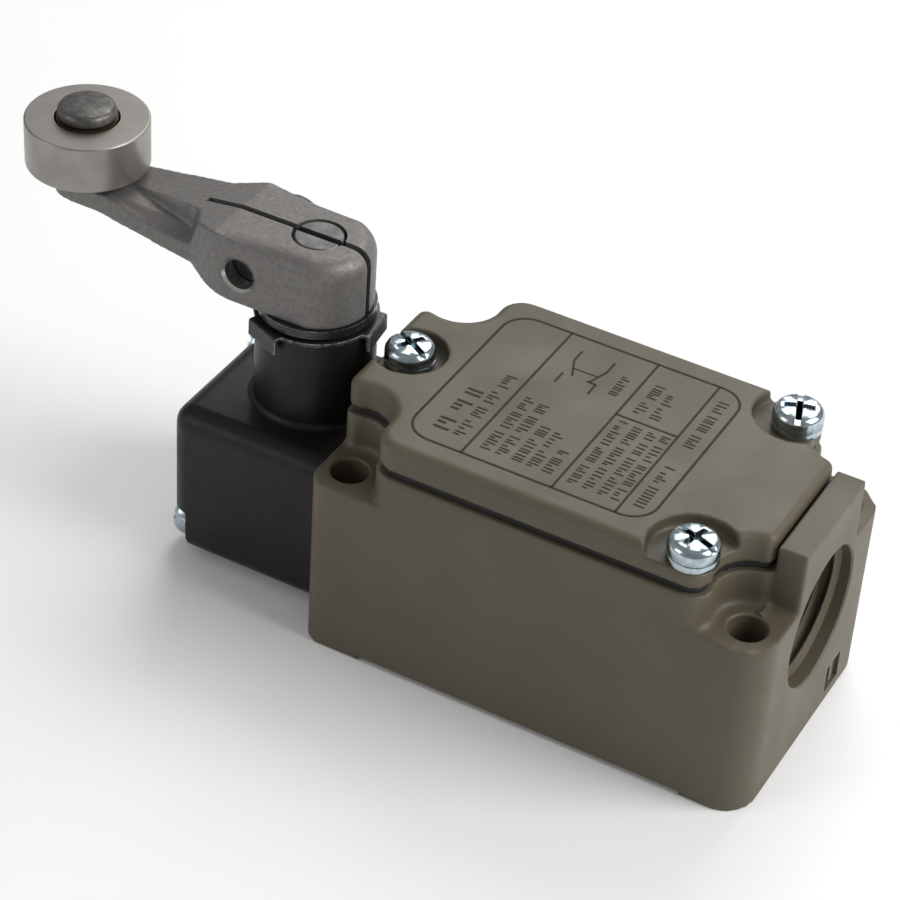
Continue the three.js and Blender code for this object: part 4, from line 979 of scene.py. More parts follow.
@dataclass
class Housing:
    """The painted base and cover with their print."""

    hole: Point = (29.35, 15.1)
    hole_radius: float = 2.6
    hole_round: float = 0.4
    ends: Point = (-33.5, 34.0)
    half_width: float = 20.0
    end_corners: Point = (3.1, 4.8)
    ear_top: float = 28.0
    ear_round: float = 1.1
    ear_reach: float = 14.0
    rim_sink: float = 4.0
    rim_top: float = 33.3
    notches: Point = (5.0, 4.9)
    side_rounds: Point = (4.0, 3.0)
    end_round: float = 1.8
    block_left: float = 29.8
    block_half: float = 9.5
    block_top: float = 37.5
    voxel: float = 0.3
    kept_faces: float = 0.16
    cavity: tuple[float, float, float] = (-26.0, 17.3, 24.5)
    cavity_half: Point = (16.8, 12.4)
    cavity_clear: float = 40.0
    narrow_left: float = 16.0
    floor: float = 4.0
    notch_wall: float = 1.8
    relief_end: float = 9.0
    relief_y: float = 17.5
    relief_half: float = 2.5
    relief_depth: float = 0.8
    mark_depth: float = 0.6
    mark_y: Point = (6.85, 11.35)
    mark_z: Point = (1.95, 6.45)
    bar_depth: Point = (0.7, 0.25)
    bar_y: Point = (8.6, 9.5)
    bar_z: Point = (2.6, 6.6)
    conduit_z: float = 20.85
    conduit_radius: float = 10.1
    conduit_start: float = 23.0
    mouth_radii: Point = (11.6, 9.6)
    mouth_shift: float = 0.25
    thread_pitch: float = 1.8
    thread_turns: int = 4
    thread_steps: int = 72
    thread_lead: float = 0.6
    thread_bite: float = 0.15
    thread_height: float = 0.85
    thread_crest: Point = (0.85, 1.0)
    thread_foot: float = 1.75
    plunger_z: float = 14.1
    passage_radius: float = 4.8
    passage_end: float = -27.3
    plunger_radius: float = 2.8
    plunger_bore: Point = (-28.0, -25.0)
    ground: Point = (19.5, -6.0)
    ground_radius: float = 3.6
    ground_span: Point = (2.0, 8.0)
    cover_low: float = 34.5
    cover_top: float = 38.7
    cover_right: float = 29.75
    cover_inset: float = 0.35
    cover_round: float = 1.15
    cover_clear: Point = (33.0, 42.0)
    hollow_x: Point = (-24.0, 13.9)
    hollow_half: float = 14.8
    hollow_top: float = 36.1
    pillar_radius: float = 6.8
    pocket_floor: float = 36.7
    screws: tuple[Spot, ...] = ((-29.3, 0.0, 5.2), (21.1, 16.2, 6.2), (21.1, -16.2, 6.2))
    screw_radius: float = 2.2
    screw_bore: Point = (20.7, 36.0)
    head_screws: tuple[Point, ...] = ((-9.6, 4.1), (9.6, 22.5))
    head_screw_radius: float = 2.0
    head_screw_end: float = -28.2
    small_screws: tuple[Spot, ...] = ((-21.75, -6.0, 4.0), (15.75, 6.0, 4.0), (19.5, -6.0, 8.0))
    small_screw_radius: float = 1.8
    small_screw_depth: float = 2.8

    def plan(self, right: float, inset: float) -> tuple[Point, list[Stroke]]:
        """The plan of rim and cover: a rectangle notched round the four mounting holes.

        Args:
            right: where the plan ends on the conduit side, before the inset.
            inset: how far the plan stands back from the base's sides.

        Returns:
            The first point and the strokes that follow it.
        """
        strokes: list[Stroke] = []
        for sx, sy in ((1, 1), (-1, 1), (-1, -1), (1, -1)):
            strokes += self.corner(right, inset, sx, sy)
        first = strokes[0]
        return first.point(first.start), strokes

    def corner(self, right: float, inset: float, sx: int, sy: int) -> list[Stroke]:
        """The three arcs of one notched corner, anticlockwise.

        Args:
            right: where the plan ends on the conduit side.
            inset: how far the plan stands back from the base's sides.
            sx: which end: 1 is the conduit end.
            sy: which side along Y.

        Returns:
            The arcs.
        """
        side = 1 if sx > 0 else 0
        hx, hy = sx * self.hole[0], sy * self.hole[1]
        notch = self.notches[side] + inset
        end_round = self.end_round - inset
        side_round = self.side_rounds[side] - inset
        end_x = (right - inset if sx > 0 else self.ends[0] + inset) - sx * end_round
        end_y = hy - sy * math.sqrt((notch + end_round) ** 2 - (end_x - hx) ** 2)
        side_y = sy * (self.half_width - inset - side_round)
        side_x = hx - sx * math.sqrt((notch + side_round) ** 2 - (side_y - hy) ** 2)
        to_end = math.degrees(math.atan2(end_y - hy, end_x - hx))
        to_side = math.degrees(math.atan2(side_y - hy, side_x - hx))
        run = [
            Arc((end_x, end_y), end_round, 0.0 if sx > 0 else 180.0, to_end + 180.0, 6),
            Arc((hx, hy), notch, to_end, to_side, 12),
            Arc((side_x, side_y), side_round, to_side + 180.0, sy * 90.0, 8),
        ]
        if sx * sy > 0:
            return run
        return [Arc(a.about, a.radius, a.end, a.start, a.steps) for a in reversed(run)]

    def base(self) -> bpy.types.Object:
        """The die-cast base with its ears, conduit entry and cavity.

        Returns:
            The base with its thread.
        """
        left, right = self.ends
        near, far = self.end_corners
        w = self.half_width
        plan = [
            Arc((right - far, w - far), far, 0, 90),
            Arc((left + near, w - near), near, 90, 180),
            Arc((left + near, near - w), near, 180, 270),
            Arc((right - far, far - w), far, 270, 360),
        ]
        body = prism("body", Plane.PLAN, (right, w - far), plan, 0.0, self.ear_top)
        start, strokes = self.plan(self.block_left, 0.0)
        foot = self.ear_top - self.rim_sink
        combine(body, Join.ADD, prism("rim", Plane.PLAN, start, strokes, foot, self.rim_top))
        low = (self.block_left, -self.block_half, self.floor)
        combine(body, Join.ADD, block("block", low, (right, self.block_half, self.block_top)))
        flatten(body)
        bevel_edges(body, self.on_ear_root, self.ear_round, segments=5)
        cast(body, self.voxel, passes=6)
        hold_inside(body, (left, -w, 0.0), (right, w, self.block_top))
        thin_out(body, self.kept_faces)
        combine(body, Join.CUT, *self.hollows())
        self.chamfer(body)
        combine(body, Join.ADD, rod("ground", "Z", self.ground, self.ground_radius, *self.ground_span))
        combine(body, Join.CUT, *self.tapped())
        return merge("body_casting_look", shade(body, angle=40), shade(self.thread(), angle=25))

    def hollows(self) -> list[bpy.types.Object]:
        """What is cut out of the base.

        Returns:
            The cutting solids.
        """
        left, right = self.ends
        long, short = self.cavity_half
        wide = block(
            "wide", (self.cavity[0], -long, self.floor), (self.cavity[1], long, self.cavity_clear)
        )
        narrow = block(
            "narrow", (self.narrow_left, -short, self.floor), (self.cavity[2], short, self.cavity_clear)
        )
        round_hole = self.notches[0] + self.notch_wall
        pillars = [
            rod("pillar", "Z", (-self.hole[0], sy * self.hole[1]), round_hole, 0, self.cavity_clear + 5, 64)
            for sy in (-1, 1)
        ]
        combine(wide, Join.CUT, *pillars)
        combine(wide, Join.ADD, narrow)
        near, far, half = left + self.relief_end, right - self.relief_end, self.relief_half
        cuts = [wide]
        for y in (-self.relief_y, self.relief_y):
            cuts.append(block("relief", (near, y - half, -1), (far, y + half, self.relief_depth)))
        entry, guide = (0, self.conduit_z), (0, self.plunger_z)
        cuts += [
            self.cast_mark(),
            rod("conduit", "X", entry, self.conduit_radius, self.conduit_start, right + 1, 96),
            rod("passage", "X", guide, self.passage_radius, left - 1, self.passage_end),
            rod("plunger", "X", guide, self.plunger_radius, *self.plunger_bore),
        ]
        cuts += [self.ear_hole((sx * self.hole[0], sy * self.hole[1])) for sx in (-1, 1) for sy in (-1, 1)]
        return cuts

    def cast_mark(self) -> bpy.types.Object:
        """The shallow square recess with a bar in it, beside the conduit entry.

        Returns:
            The cutting solid.
        """
        right = self.ends[1]
        (y0, y1), (z0, z1) = self.mark_y, self.mark_z
        mark = block("mark", (right - self.mark_depth, y0, z0), (right + 1, y1, z1))
        (y0, y1), (z0, z1) = self.bar_y, self.bar_z
        back, front = self.bar_depth
        return combine(mark, Join.CUT, block("bar", (right - back, y0, z0), (right - front, y1, z1)))

    def ear_hole(self, place: Point) -> bpy.types.Object:
        """A mounting hole with a small round at its top.

        Args:
            place: the hole's place in plan.

        Returns:
            The cutting solid.
        """
        r, top, e = self.hole_radius, self.ear_top, self.hole_round
        profile = [
            Line((r, -1.0)),
            Line((r, top - e)),
            Arc((r + e, top - e), e, 180, 90, 4),
            Line((r + e, top + 1)),
            Line((0.0, top + 1)),
        ]
        hole = turned("hole", profile, (0.0, -1.0), 48)
        hole.data.transform(Matrix.Translation((place[0] * MM, place[1] * MM, 0)))
        return hole

    def tapped(self) -> list[bpy.types.Object]:
        """The bores of the screws.

        Returns:
            The cutting solids.
        """
        bores = []
        for x, y, _ in self.screws:
            bores.append(rod("bore", "Z", (x, y), self.screw_radius, *self.screw_bore, 24))
        for x, y, top in self.small_screws:
            low = top - self.small_screw_depth
            bores.append(rod("bore", "Z", (x, y), self.small_screw_radius, low, top + 1, 24))
        for place in self.head_screws:
            radius = self.head_screw_radius
            bores.append(rod("bore", "X", place, radius, self.ends[0] - 1, self.head_screw_end, 24))
        return bores

    def on_ear_root(self, a: Vector, b: Vector) -> bool:
        """Whether an edge lies where an ear meets the notch wall.

        Args:
            a: the edge's first end.
            b: the edge's second end.

        Returns:
            True if it does.
        """
        margin = 0.4
        flat = all(abs(p.z - self.ear_top) < NEAR for p in (a, b))
        left, right = self.ends[0] + margin, self.ends[1] - margin
        limit = self.half_width - margin
        inside = all(left < p.x < right and abs(p.y) < limit for p in (a, b))
        holes = [Vector((sx * self.hole[0], sy * self.hole[1])) for sx in (-1, 1) for sy in (-1, 1)]
        near = all(min((p.xy - h).length for h in holes) < self.ear_reach for p in (a, b))
        return flat and inside and near

    def chamfer(self, body: bpy.types.Object) -> None:
        """Cuts the cone at the mouth of the conduit entry.

        Args:
            body: the base.
        """
        wide, narrow = self.mouth_radii
        profile = [Line((wide, 1.0)), Line((narrow, -1.0)), Line((0.0, -1.0))]
        mouth = turned("mouth", profile, (0.0, 1.0), 96)
        turn = Matrix.Rotation(math.pi / 2, 4, "Y")
        turn.translation = Vector((self.ends[1] + self.mouth_shift, 0.0, self.conduit_z)) * MM
        mouth.data.transform(turn)
        combine(body, Join.CUT, mouth)

    def thread(self) -> bpy.types.Object:
        """The conduit thread: a ridge wound along the bore.

        Returns:
            The ridge.
        """
        x0 = self.cavity[2] - self.thread_lead
        root, crest = self.conduit_radius + self.thread_bite, self.conduit_radius - self.thread_height
        corners = [*((x0 + x, crest) for x in self.thread_crest), (x0 + self.thread_foot, root), (x0, root)]
        strokes = [Line(corner) for corner in corners]
        ridge = outline("thread", Plane.SIDE, (x0, root), strokes, 0.0)
        bpy.ops.mesh.select_all(action="SELECT")
        bpy.ops.mesh.remove_doubles(threshold=WELD)
        leave()
        modifier = ridge.modifiers.new("wind", "SCREW")
        modifier.axis = "X"
        modifier.steps = modifier.render_steps = self.thread_steps
        modifier.iterations = self.thread_turns
        modifier.screw_offset = self.thread_pitch * MM
        pick(ridge)
        bpy.ops.object.modifier_apply(modifier=modifier.name)
        edit(ridge)
        bpy.ops.mesh.select_all(action="SELECT")
        bpy.ops.mesh.fill_holes(sides=8)
        bpy.ops.mesh.normals_make_consistent(inside=False)
        leave()
        ridge.data.transform(Matrix.Translation((0, 0, self.conduit_z * MM)))
        return ridge

    def cover(self) -> bpy.types.Object:
        """The cover plate with its three screw pockets.

        Returns:
            The cover.
        """
        start, strokes = self.plan(self.cover_right, self.cover_inset)
        plate = prism("cover", Plane.PLAN, start, strokes, self.cover_low, self.cover_top)
        top_edge = self.cover_top - NEAR
        bevel_edges(plate, lambda a, b: min(a.z, b.z) > top_edge, self.cover_round, segments=6)
        low, high = self.cover_clear
        cuts = []
        for x, y, pocket in self.screws:
            cuts.append(rod("pocket", "Z", (x, y), pocket, self.pocket_floor, high, 72))
            cuts.append(rod("bore", "Z", (x, y), self.screw_radius, low, high, 24))
        (left, right), half = self.hollow_x, self.hollow_half
        hollow = block("hollow", (left, -half, low), (right, half, self.hollow_top))
        for sy in (-1, 1):
            place = (-self.hole[0], sy * self.hole[1])
            combine(hollow, Join.CUT, rod("pillar", "Z", place, self.pillar_radius, low - 3, high + 3, 64))
        combine(plate, Join.CUT, *cuts, hollow)
        cast(plate, self.voxel, passes=5)
        return shade(plate, angle=60)

    def build(self) -> None:
        """Makes and mounts the base, the cover and the print."""
        mount(self.base(), KHAKI, "root", "body_casting")
        mount(self.cover(), KHAKI, "root", "cover_plate")
        mount(Print(top=self.cover_top).build(), INK, "root")


@dataclass(frozen=True)
class Row:
    """One row of printed strokes: its place along X, its run along Y, and its strokes' size."""

    x: float
    start: float
    end: float
    height: float
    weight: float = 0.24


LEFT_ROW_ENDS = ((-11.2, -0.5), (-9.0, -0.5), (-6.6, -5.0), (-4.4, -5.0), (-2.2, -8.0))
ROWS = (
    Row(-18.6, -12.8, -3.2, 2.3, weight=0.42),
    Row(-15.6, -12.8, 3.4, 1.6, weight=0.26),
    *(Row(x, -13.4, end, 1.5) for x, end in LEFT_ROW_ENDS),
    *(Row(x, -13.6, 1.6, 1.3) for x in (1.6, 3.8, 6.0, 7.9)),
    Row(2.2, 4.4, 11.8, 1.5),
    Row(4.6, 4.4, 10.0, 1.5),
    Row(11.0, -13.2, -3.4, 1.5),
    Row(11.0, 1.4, 12.6, 1.5),
    Row(-2.4, 6.2, 10.6, 1.3),
)


@dataclass
class Print:
    """The printed frame, dividers, circuit sketch and rows of marks on the cover."""

    top: float = 38.7
    gap: float = 0.015
    height: float = 0.03
    line: float = 0.36
    low: Point = (-21.7, -16.0)
    high: Point = (14.2, 16.0)
    corner: float = 4.0
    dividers: tuple[float, ...] = (-12.7, 0.57, 9.7)
    divider_half: float = 0.16
    crossbar: tuple[float, float, float, float] = (0.6, 9.6, 2.55, 2.87)
    contact_x: Point = (-9.6, -4.6)
    contact_y: tuple[float, float, float, float] = (4.6, 7.0, 10.4, 12.8)
    contact_line: float = 0.3
    link_line: float = 0.2
    group: Point = (2.4, 5.2)
    stroke_shares: tuple[float, ...] = (1.0, 1.0, 0.55)
    stroke_steps: tuple[float, ...] = (2.2, 2.8, 3.4)
    group_gap: float = 0.5
    seed: int = 7
    strips: list[bpy.types.Object] = field(default_factory=list)

    def bar(self, x0: float, x1: float, y0: float, y1: float) -> None:
        """Prints a filled rectangle."""
        z = self.top + self.gap
        self.strips.append(block("ink", (x0, y0, z), (x1, y1, z + self.height)))

    def line_to(self, start: Point, end: Point, width: float) -> None:
        """Prints a straight line of a width between two points.

        Args:
            start: where the line starts.
            end: where it ends.
            width: how wide it is.
        """
        length = math.dist(start, end)
        z = self.top + self.gap
        strip = block("ink", (0, -width / 2, z), (length, width / 2, z + self.height))
        turn = Matrix.Rotation(math.atan2(end[1] - start[1], end[0] - start[0]), 4, "Z")
        turn.translation = Vector((start[0], start[1], 0)) * MM
        strip.data.transform(turn)
        self.strips.append(strip)

    def border(self) -> None:
        """Prints the frame with its round corners."""
        (x0, y0), (x1, y1) = self.low, self.high
        rings = []
        for inset in (0.0, self.line):
            r = self.corner - inset
            a, b, c, d = x0 + inset, x1 - inset, y0 + inset, y1 - inset
            strokes = [
                Arc((b - r, d - r), r, 0, 90), Arc((a + r, d - r), r, 90, 180),
                Arc((a + r, c + r), r, 180, 270), Arc((b - r, c + r), r, 270, 360),
            ]
            low = self.top + self.gap - inset
            high = self.top + self.gap + self.height + inset
            rings.append(prism("ink", Plane.PLAN, (b, d - r), strokes, low, high))
        self.strips.append(combine(rings[0], Join.CUT, rings[1]))

    def marks(self, row: Row, draw: random.Random) -> None:
        """Prints one row of plain upright strokes in groups, with no meaning.

        Args:
            row: the row to print.
            draw: the source of the strokes' lengths and steps.
        """
        y = row.start
        while y < row.end:
            group = y + draw.uniform(*self.group)
            while y < min(group, row.end):
                tall = row.height * draw.choice(self.stroke_shares)
                self.bar(row.x, row.x + tall, y, y + row.weight)
                y += row.weight * draw.choice(self.stroke_steps)
            y += row.height * self.group_gap

    def sketch(self) -> None:
        """Prints a plain sketch of two contact pairs."""
        low, near, far, high = self.contact_y
        left, right = self.contact_x
        thick = self.contact_line
        for x in (left, right):
            self.line_to((x, low), (x, near), thick)
            self.line_to((x, far), (x, high), thick)
        self.line_to((left, far), (left + 1.4, near), thick)
        self.line_to((right, far), (right - 1.0, near), thick)
        self.line_to((right, near), (right - 1.4, near), thick)
        middle = (near + far) / 2
        self.line_to((left + 0.7, middle), (right - 0.5, middle), self.link_line)

    def build(self) -> bpy.types.Object:
        """Prints everything and joins it into one piece.

        Returns:
            The print.
        """
        draw = random.Random(self.seed)
        self.border()
        edge, half = self.line / 2, self.divider_half
        for x in self.dividers:
            self.bar(x - half, x + half, self.low[1] + edge, self.high[1] - edge)
        self.bar(*self.crossbar)
        self.sketch()
        for row in ROWS:
            self.marks(row, draw)
        return merge("cover_print", *self.strips)


# ---------------------------------------------------------------- fasteners


@dataclass
class PanScrew:
    """A pan-head screw with a cross and a slot in its head.

    The shares are of the head's height or radius.
    """

    shank: float
    length: float
    head: float
    height: float
    lead: Point = (0.3, 0.4)
    lip: float = 0.15
    shoulder: float = 0.42
    crown: float = 0.5
    cross: Point = (0.6, 0.115)
    slot_floor: float = 0.62
    slot_reach: float = 1.02
    slot_wider: float = 1.1
    heart: Point = (0.3, 0.25)
    edge: float = 0.05

    def model(self) -> bpy.types.Object:
        """One screw with the underside of its head at the origin.

        Returns:
            The finished model.
        """
        h, r, floor, dome = self.height, self.head, self.height * self.shoulder, self.height * self.crown
        profile = [
            Line((self.shank - self.lead[0], -self.length)),
            Line((self.shank, -self.length + self.lead[1])),
            Line((self.shank, 0.0)),
            Line((r - self.lip, 0.0)),
            Line((r, self.lip)),
            Line((r, floor)),
            Arc((r - dome, floor), dome, 0, 68, 6),
            Line((0.0, h)),
        ]
        screw = turned("screw", profile, (0.0, -self.length), 48)
        arm, half = (r * share for share in self.cross)
        wide, reach, low = half * self.slot_wider, r * self.slot_reach, h * self.slot_floor
        cuts = [
            block("slot", (-arm, -half, floor), (arm, half, h + 1)),
            block("slot", (-half, -arm, floor), (half, arm, h + 1)),
            block("slot", (-wide, 0, low), (wide, reach, h + 1)),
            block("slot", (-wide, -reach, low), (wide, 0, h + 1)),
        ]
        over = h + 0.3
        cone = [Line((r * self.heart[0], over)), Line((0.0, over))]
        combine(screw, Join.CUT, *cuts, turned("heart", cone, (0.0, h * self.heart[1]), 8))
        flatten(screw, angle=0.2)
        soften(screw, self.edge, segments=2, angle=28)
        return shade(screw)


@dataclass
class SplitWasher:
    """A spring washer with a slanting split."""

    bore: float
    outer: float
    thickness: float
    gap: float = 0.22
    slant: float = 24.0
    edge: float = 0.12

    def model(self) -> bpy.types.Object:
        """One washer lying on the origin's plane.

        Returns:
            The finished model.
        """
        t = self.thickness
        corners = ((self.outer, 0.0), (self.outer, t), (self.bore, t), (self.bore, 0.0))
        profile = [Line(corner) for corner in corners]
        ring = turned("washer", profile, (self.bore, 0.0), 56)
        split = block("split", (0, -self.gap, -1), (self.outer + 1, self.gap, t + 1))
        split.data.transform(Matrix.Rotation(math.radians(self.slant), 4, "X"))
        combine(ring, Join.CUT, split)
        soften(ring, self.edge, segments=2)
        return shade(ring)


@dataclass
class Fasteners:
    """All screws and washers that show."""

    cover: tuple[Spot, ...] = ((-29.3, 0.0, 62.0), (21.1, 16.2, 20.0), (21.1, -16.2, 74.0))
    pocket_floor: float = 36.7
    washer: float = 1.0
    head_seat: float = -56.3
    head_washer: float = 0.8
    head: tuple[Spot, ...] = ((-9.6, 4.1, 15.0), (9.6, 22.5, 33.0))

    def build(self) -> None:
        """Models each kind once, copies it to its places, and mounts the copies."""
        screw = PanScrew(shank=1.9, length=16.0, head=3.5, height=2.6).model()
        ring = SplitWasher(bore=2.2, outer=3.5, thickness=self.washer).model()
        for i, (x, y, turn) in enumerate(self.cover, 1):
            spin = Matrix.Rotation(math.radians(turn), 4, "Z")
            place = Matrix.Translation((x, y, self.pocket_floor)) @ spin
            up = Matrix.Translation((0, 0, self.washer)) @ place
            mount(copy_of(screw, f"cover_screw_{i}_look", up), ZINC, "root", f"cover_screw_{i}")
            mount(copy_of(ring, f"cover_washer_{i}_look", place), ZINC, "root", f"cover_washer_{i}")
        small = PanScrew(shank=1.7, length=28.6, head=3.1, height=3.0).model()
        thin = SplitWasher(bore=2.0, outer=3.0, thickness=self.head_washer).model()
        for i, (y, z, turn) in enumerate(self.head, 1):
            spin = Matrix.Rotation(-math.pi / 2, 4, "Y") @ Matrix.Rotation(math.radians(turn), 4, "Z")
            place = Matrix.Translation((self.head_seat, y, z)) @ spin
            clamp = Matrix.Translation((self.head_seat - self.head_washer, y, z)) @ spin
            mount(copy_of(small, f"head_screw_{i}_look", clamp), ZINC, "root", f"head_screw_{i}")
            mount(copy_of(thin, f"head_washer_{i}_look", place), ZINC, "root", f"head_washer_{i}")
        for used in (screw, ring, small, thin):
            bpy.data.objects.remove(used)


# ---------------------------------------------------------------- operating head


@dataclass
class OperatingHead:
    """The black head with its boss and indicator plate."""

    low: Spot = (-59.0, -14.2, 1.0)
    high: Spot = (-34.0, 14.2, 25.6)
    edge: float = 3.0
    shaft_x: float = -44.1
    boss_radius: float = 8.45
    boss_top: float = 39.5
    boss_foot: float = 20.0
    boss_fillet: float = 0.9
    boss_margin: float = 0.3
    chamber: tuple[float, float, float] = (7.0, 6.5, 24.0)
    bearing_radius: float = 5.5
    seal_radius: float = 6.5
    seal_floor: float = 36.6
    bore_top: float = 41.0
    pilot_radius: float = 2.9
    pilot_span: Point = (4.2, 7.5)
    edge_round: float = 0.22
    seats: tuple[Point, ...] = ((-9.6, 4.1), (9.6, 22.5))
    seat_x: float = -56.3
    seat_radius: float = 3.8
    seat_open_y: float = 16.0
    seat_open_z: Point = (-1.0, 27.0)
    screw_radius: float = 2.0
    plate_thickness: float = 0.5
    plate_bore: float = 5.9
    plate_margin: float = 0.25
    plate_round: float = 0.14
    tab_angles: tuple[float, ...] = (-113.0, 7.0, 127.0)
    tab_half: float = 3.1
    tab_drop: float = 2.1
    tab_root: float = 1.4
    tab_bend: float = 0.4
    tab_round: float = 0.15

    def casting(self) -> bpy.types.Object:
        """The block with round edges, the boss, and the bores inside.

        Returns:
            The casting.
        """
        body = block("head", self.low, self.high)
        inner = self.high[0] - NEAR
        bevel_edges(body, lambda a, b: not (a.x > inner and b.x > inner), self.edge, segments=8)
        middle = (self.shaft_x, 0.0)
        boss = rod("boss", "Z", middle, self.boss_radius, self.boss_foot, self.boss_top, 96)
        combine(body, Join.ADD, boss)
        for y, z in self.seats:
            combine(body, Join.CUT, *self.seat(y, z))
        flatten(body, angle=0.3)
        bevel_edges(body, self.on_boss_foot, self.boss_fillet, segments=5)
        half, floor, roof = self.chamber
        end = self.high[0] + 1
        cuts = [
            block("room", (self.shaft_x, -half, floor), (end, half, roof)),
            rod("round", "Z", middle, half, floor, roof),
            rod("bearing", "Z", middle, self.bearing_radius, roof - 1, self.bore_top),
            rod("seal", "Z", middle, self.seal_radius, self.seal_floor, self.bore_top),
            rod("pilot", "Z", middle, self.pilot_radius, *self.pilot_span),
        ]
        cuts += [rod("bore", "X", seat, self.screw_radius, self.seat_x - 1, end, 24) for seat in self.seats]
        combine(body, Join.CUT, *cuts)
        flatten(body, angle=0.3)
        soften(body, self.edge_round, segments=2, angle=40)
        return shade(body)

    def on_boss_foot(self, a: Vector, b: Vector) -> bool:
        """Whether an edge runs round the boss on the block's top.

        Args:
            a: the edge's first end.
            b: the edge's second end.

        Returns:
            True if it does.
        """
        centre = Vector((self.shaft_x, 0.0))
        ring = self.boss_radius + self.boss_margin
        return all(abs(p.z - self.high[2]) < 5 * NEAR and (p.xy - centre).length < ring for p in (a, b))

    def seat(self, y: float, z: float) -> list[bpy.types.Object]:
        """The recess of a head screw, open to the block's nearest corner.

        Args:
            y: the screw's place along Y.
            z: the screw's height.

        Returns:
            The cutting solids.
        """
        outer_y = math.copysign(self.seat_open_y, y)
        outer_z = self.seat_open_z[1 if 2 * z > self.low[2] + self.high[2] else 0]
        r = self.seat_radius
        inner_y = y - math.copysign(r, y)
        inner_z = z - math.copysign(r, outer_z - z)
        x0, x1 = self.low[0] - 1, self.seat_x
        spans = ((y, outer_y, inner_z, outer_z), (inner_y, outer_y, z, outer_z))
        boxes = [
            block("open", (x0, min(a, b), min(c, d)), (x1, max(a, b), max(c, d))) for a, b, c, d in spans
        ]
        return [rod("seat", "X", (y, z), r, x0, x1), *boxes]

    def plate(self) -> bpy.types.Object:
        """The thin plate on the boss, with its bent tabs.

        Returns:
            The plate.
        """
        z0, z1 = self.boss_top, self.boss_top + self.plate_thickness
        r, bore = self.boss_radius + self.plate_margin, self.plate_bore
        profile = [Line((r, z0)), Line((r, z1)), Line((bore, z1)), Line((bore, z0))]
        ring = turned("plate", profile, (bore, z0), 96)
        for angle in self.tab_angles:
            combine(ring, Join.ADD, self.tab(angle, r))
        ring.data.transform(Matrix.Translation((self.shaft_x * MM, 0, 0)))
        soften(ring, self.plate_round, segments=2)
        return shade(ring)

    def tab(self, angle: float, inner: float) -> bpy.types.Object:
        """One flat tab: it leaves the plate and is bent down beside the boss.

        Args:
            angle: its bearing in degrees.
            inner: the plate's outer radius.

        Returns:
            The tab.
        """
        thick, bend = self.plate_thickness, self.tab_bend
        top, low, half = self.boss_top + thick, self.boss_top - self.tab_drop, self.tab_half
        root, knee = inner - self.tab_root, inner + 0.15
        section = [
            Line((root, top)), Line((knee, top)), Arc((knee, top - bend), bend, 90, 20, 4),
            Line((inner + 0.58, low)), Line((inner + 0.12, low)), Line((inner - 0.05, top - thick)),
        ]
        tab = prism("tab", Plane.SIDE, (root, top - thick), section, -half, half)

        def at_end(a: Vector, b: Vector) -> bool:
            """Whether an edge is a short one at the tab's lower end."""
            return min(a.x, b.x) > inner and max(a.z, b.z) < low + 0.1 and a.y * b.y > 0

        bevel_edges(tab, at_end, self.tab_round, segments=2)
        tab.data.transform(Matrix.Rotation(math.radians(angle), 4, "Z"))
        return tab

    def build(self) -> None:
        """Makes and mounts the head."""
        mount(self.casting(), BLACK_CAST, "root", "head_casting")
        mount(self.plate(), BLACK_STEEL, "root", "indicator_plate")


# ---------------------------------------------------------------- roller lever


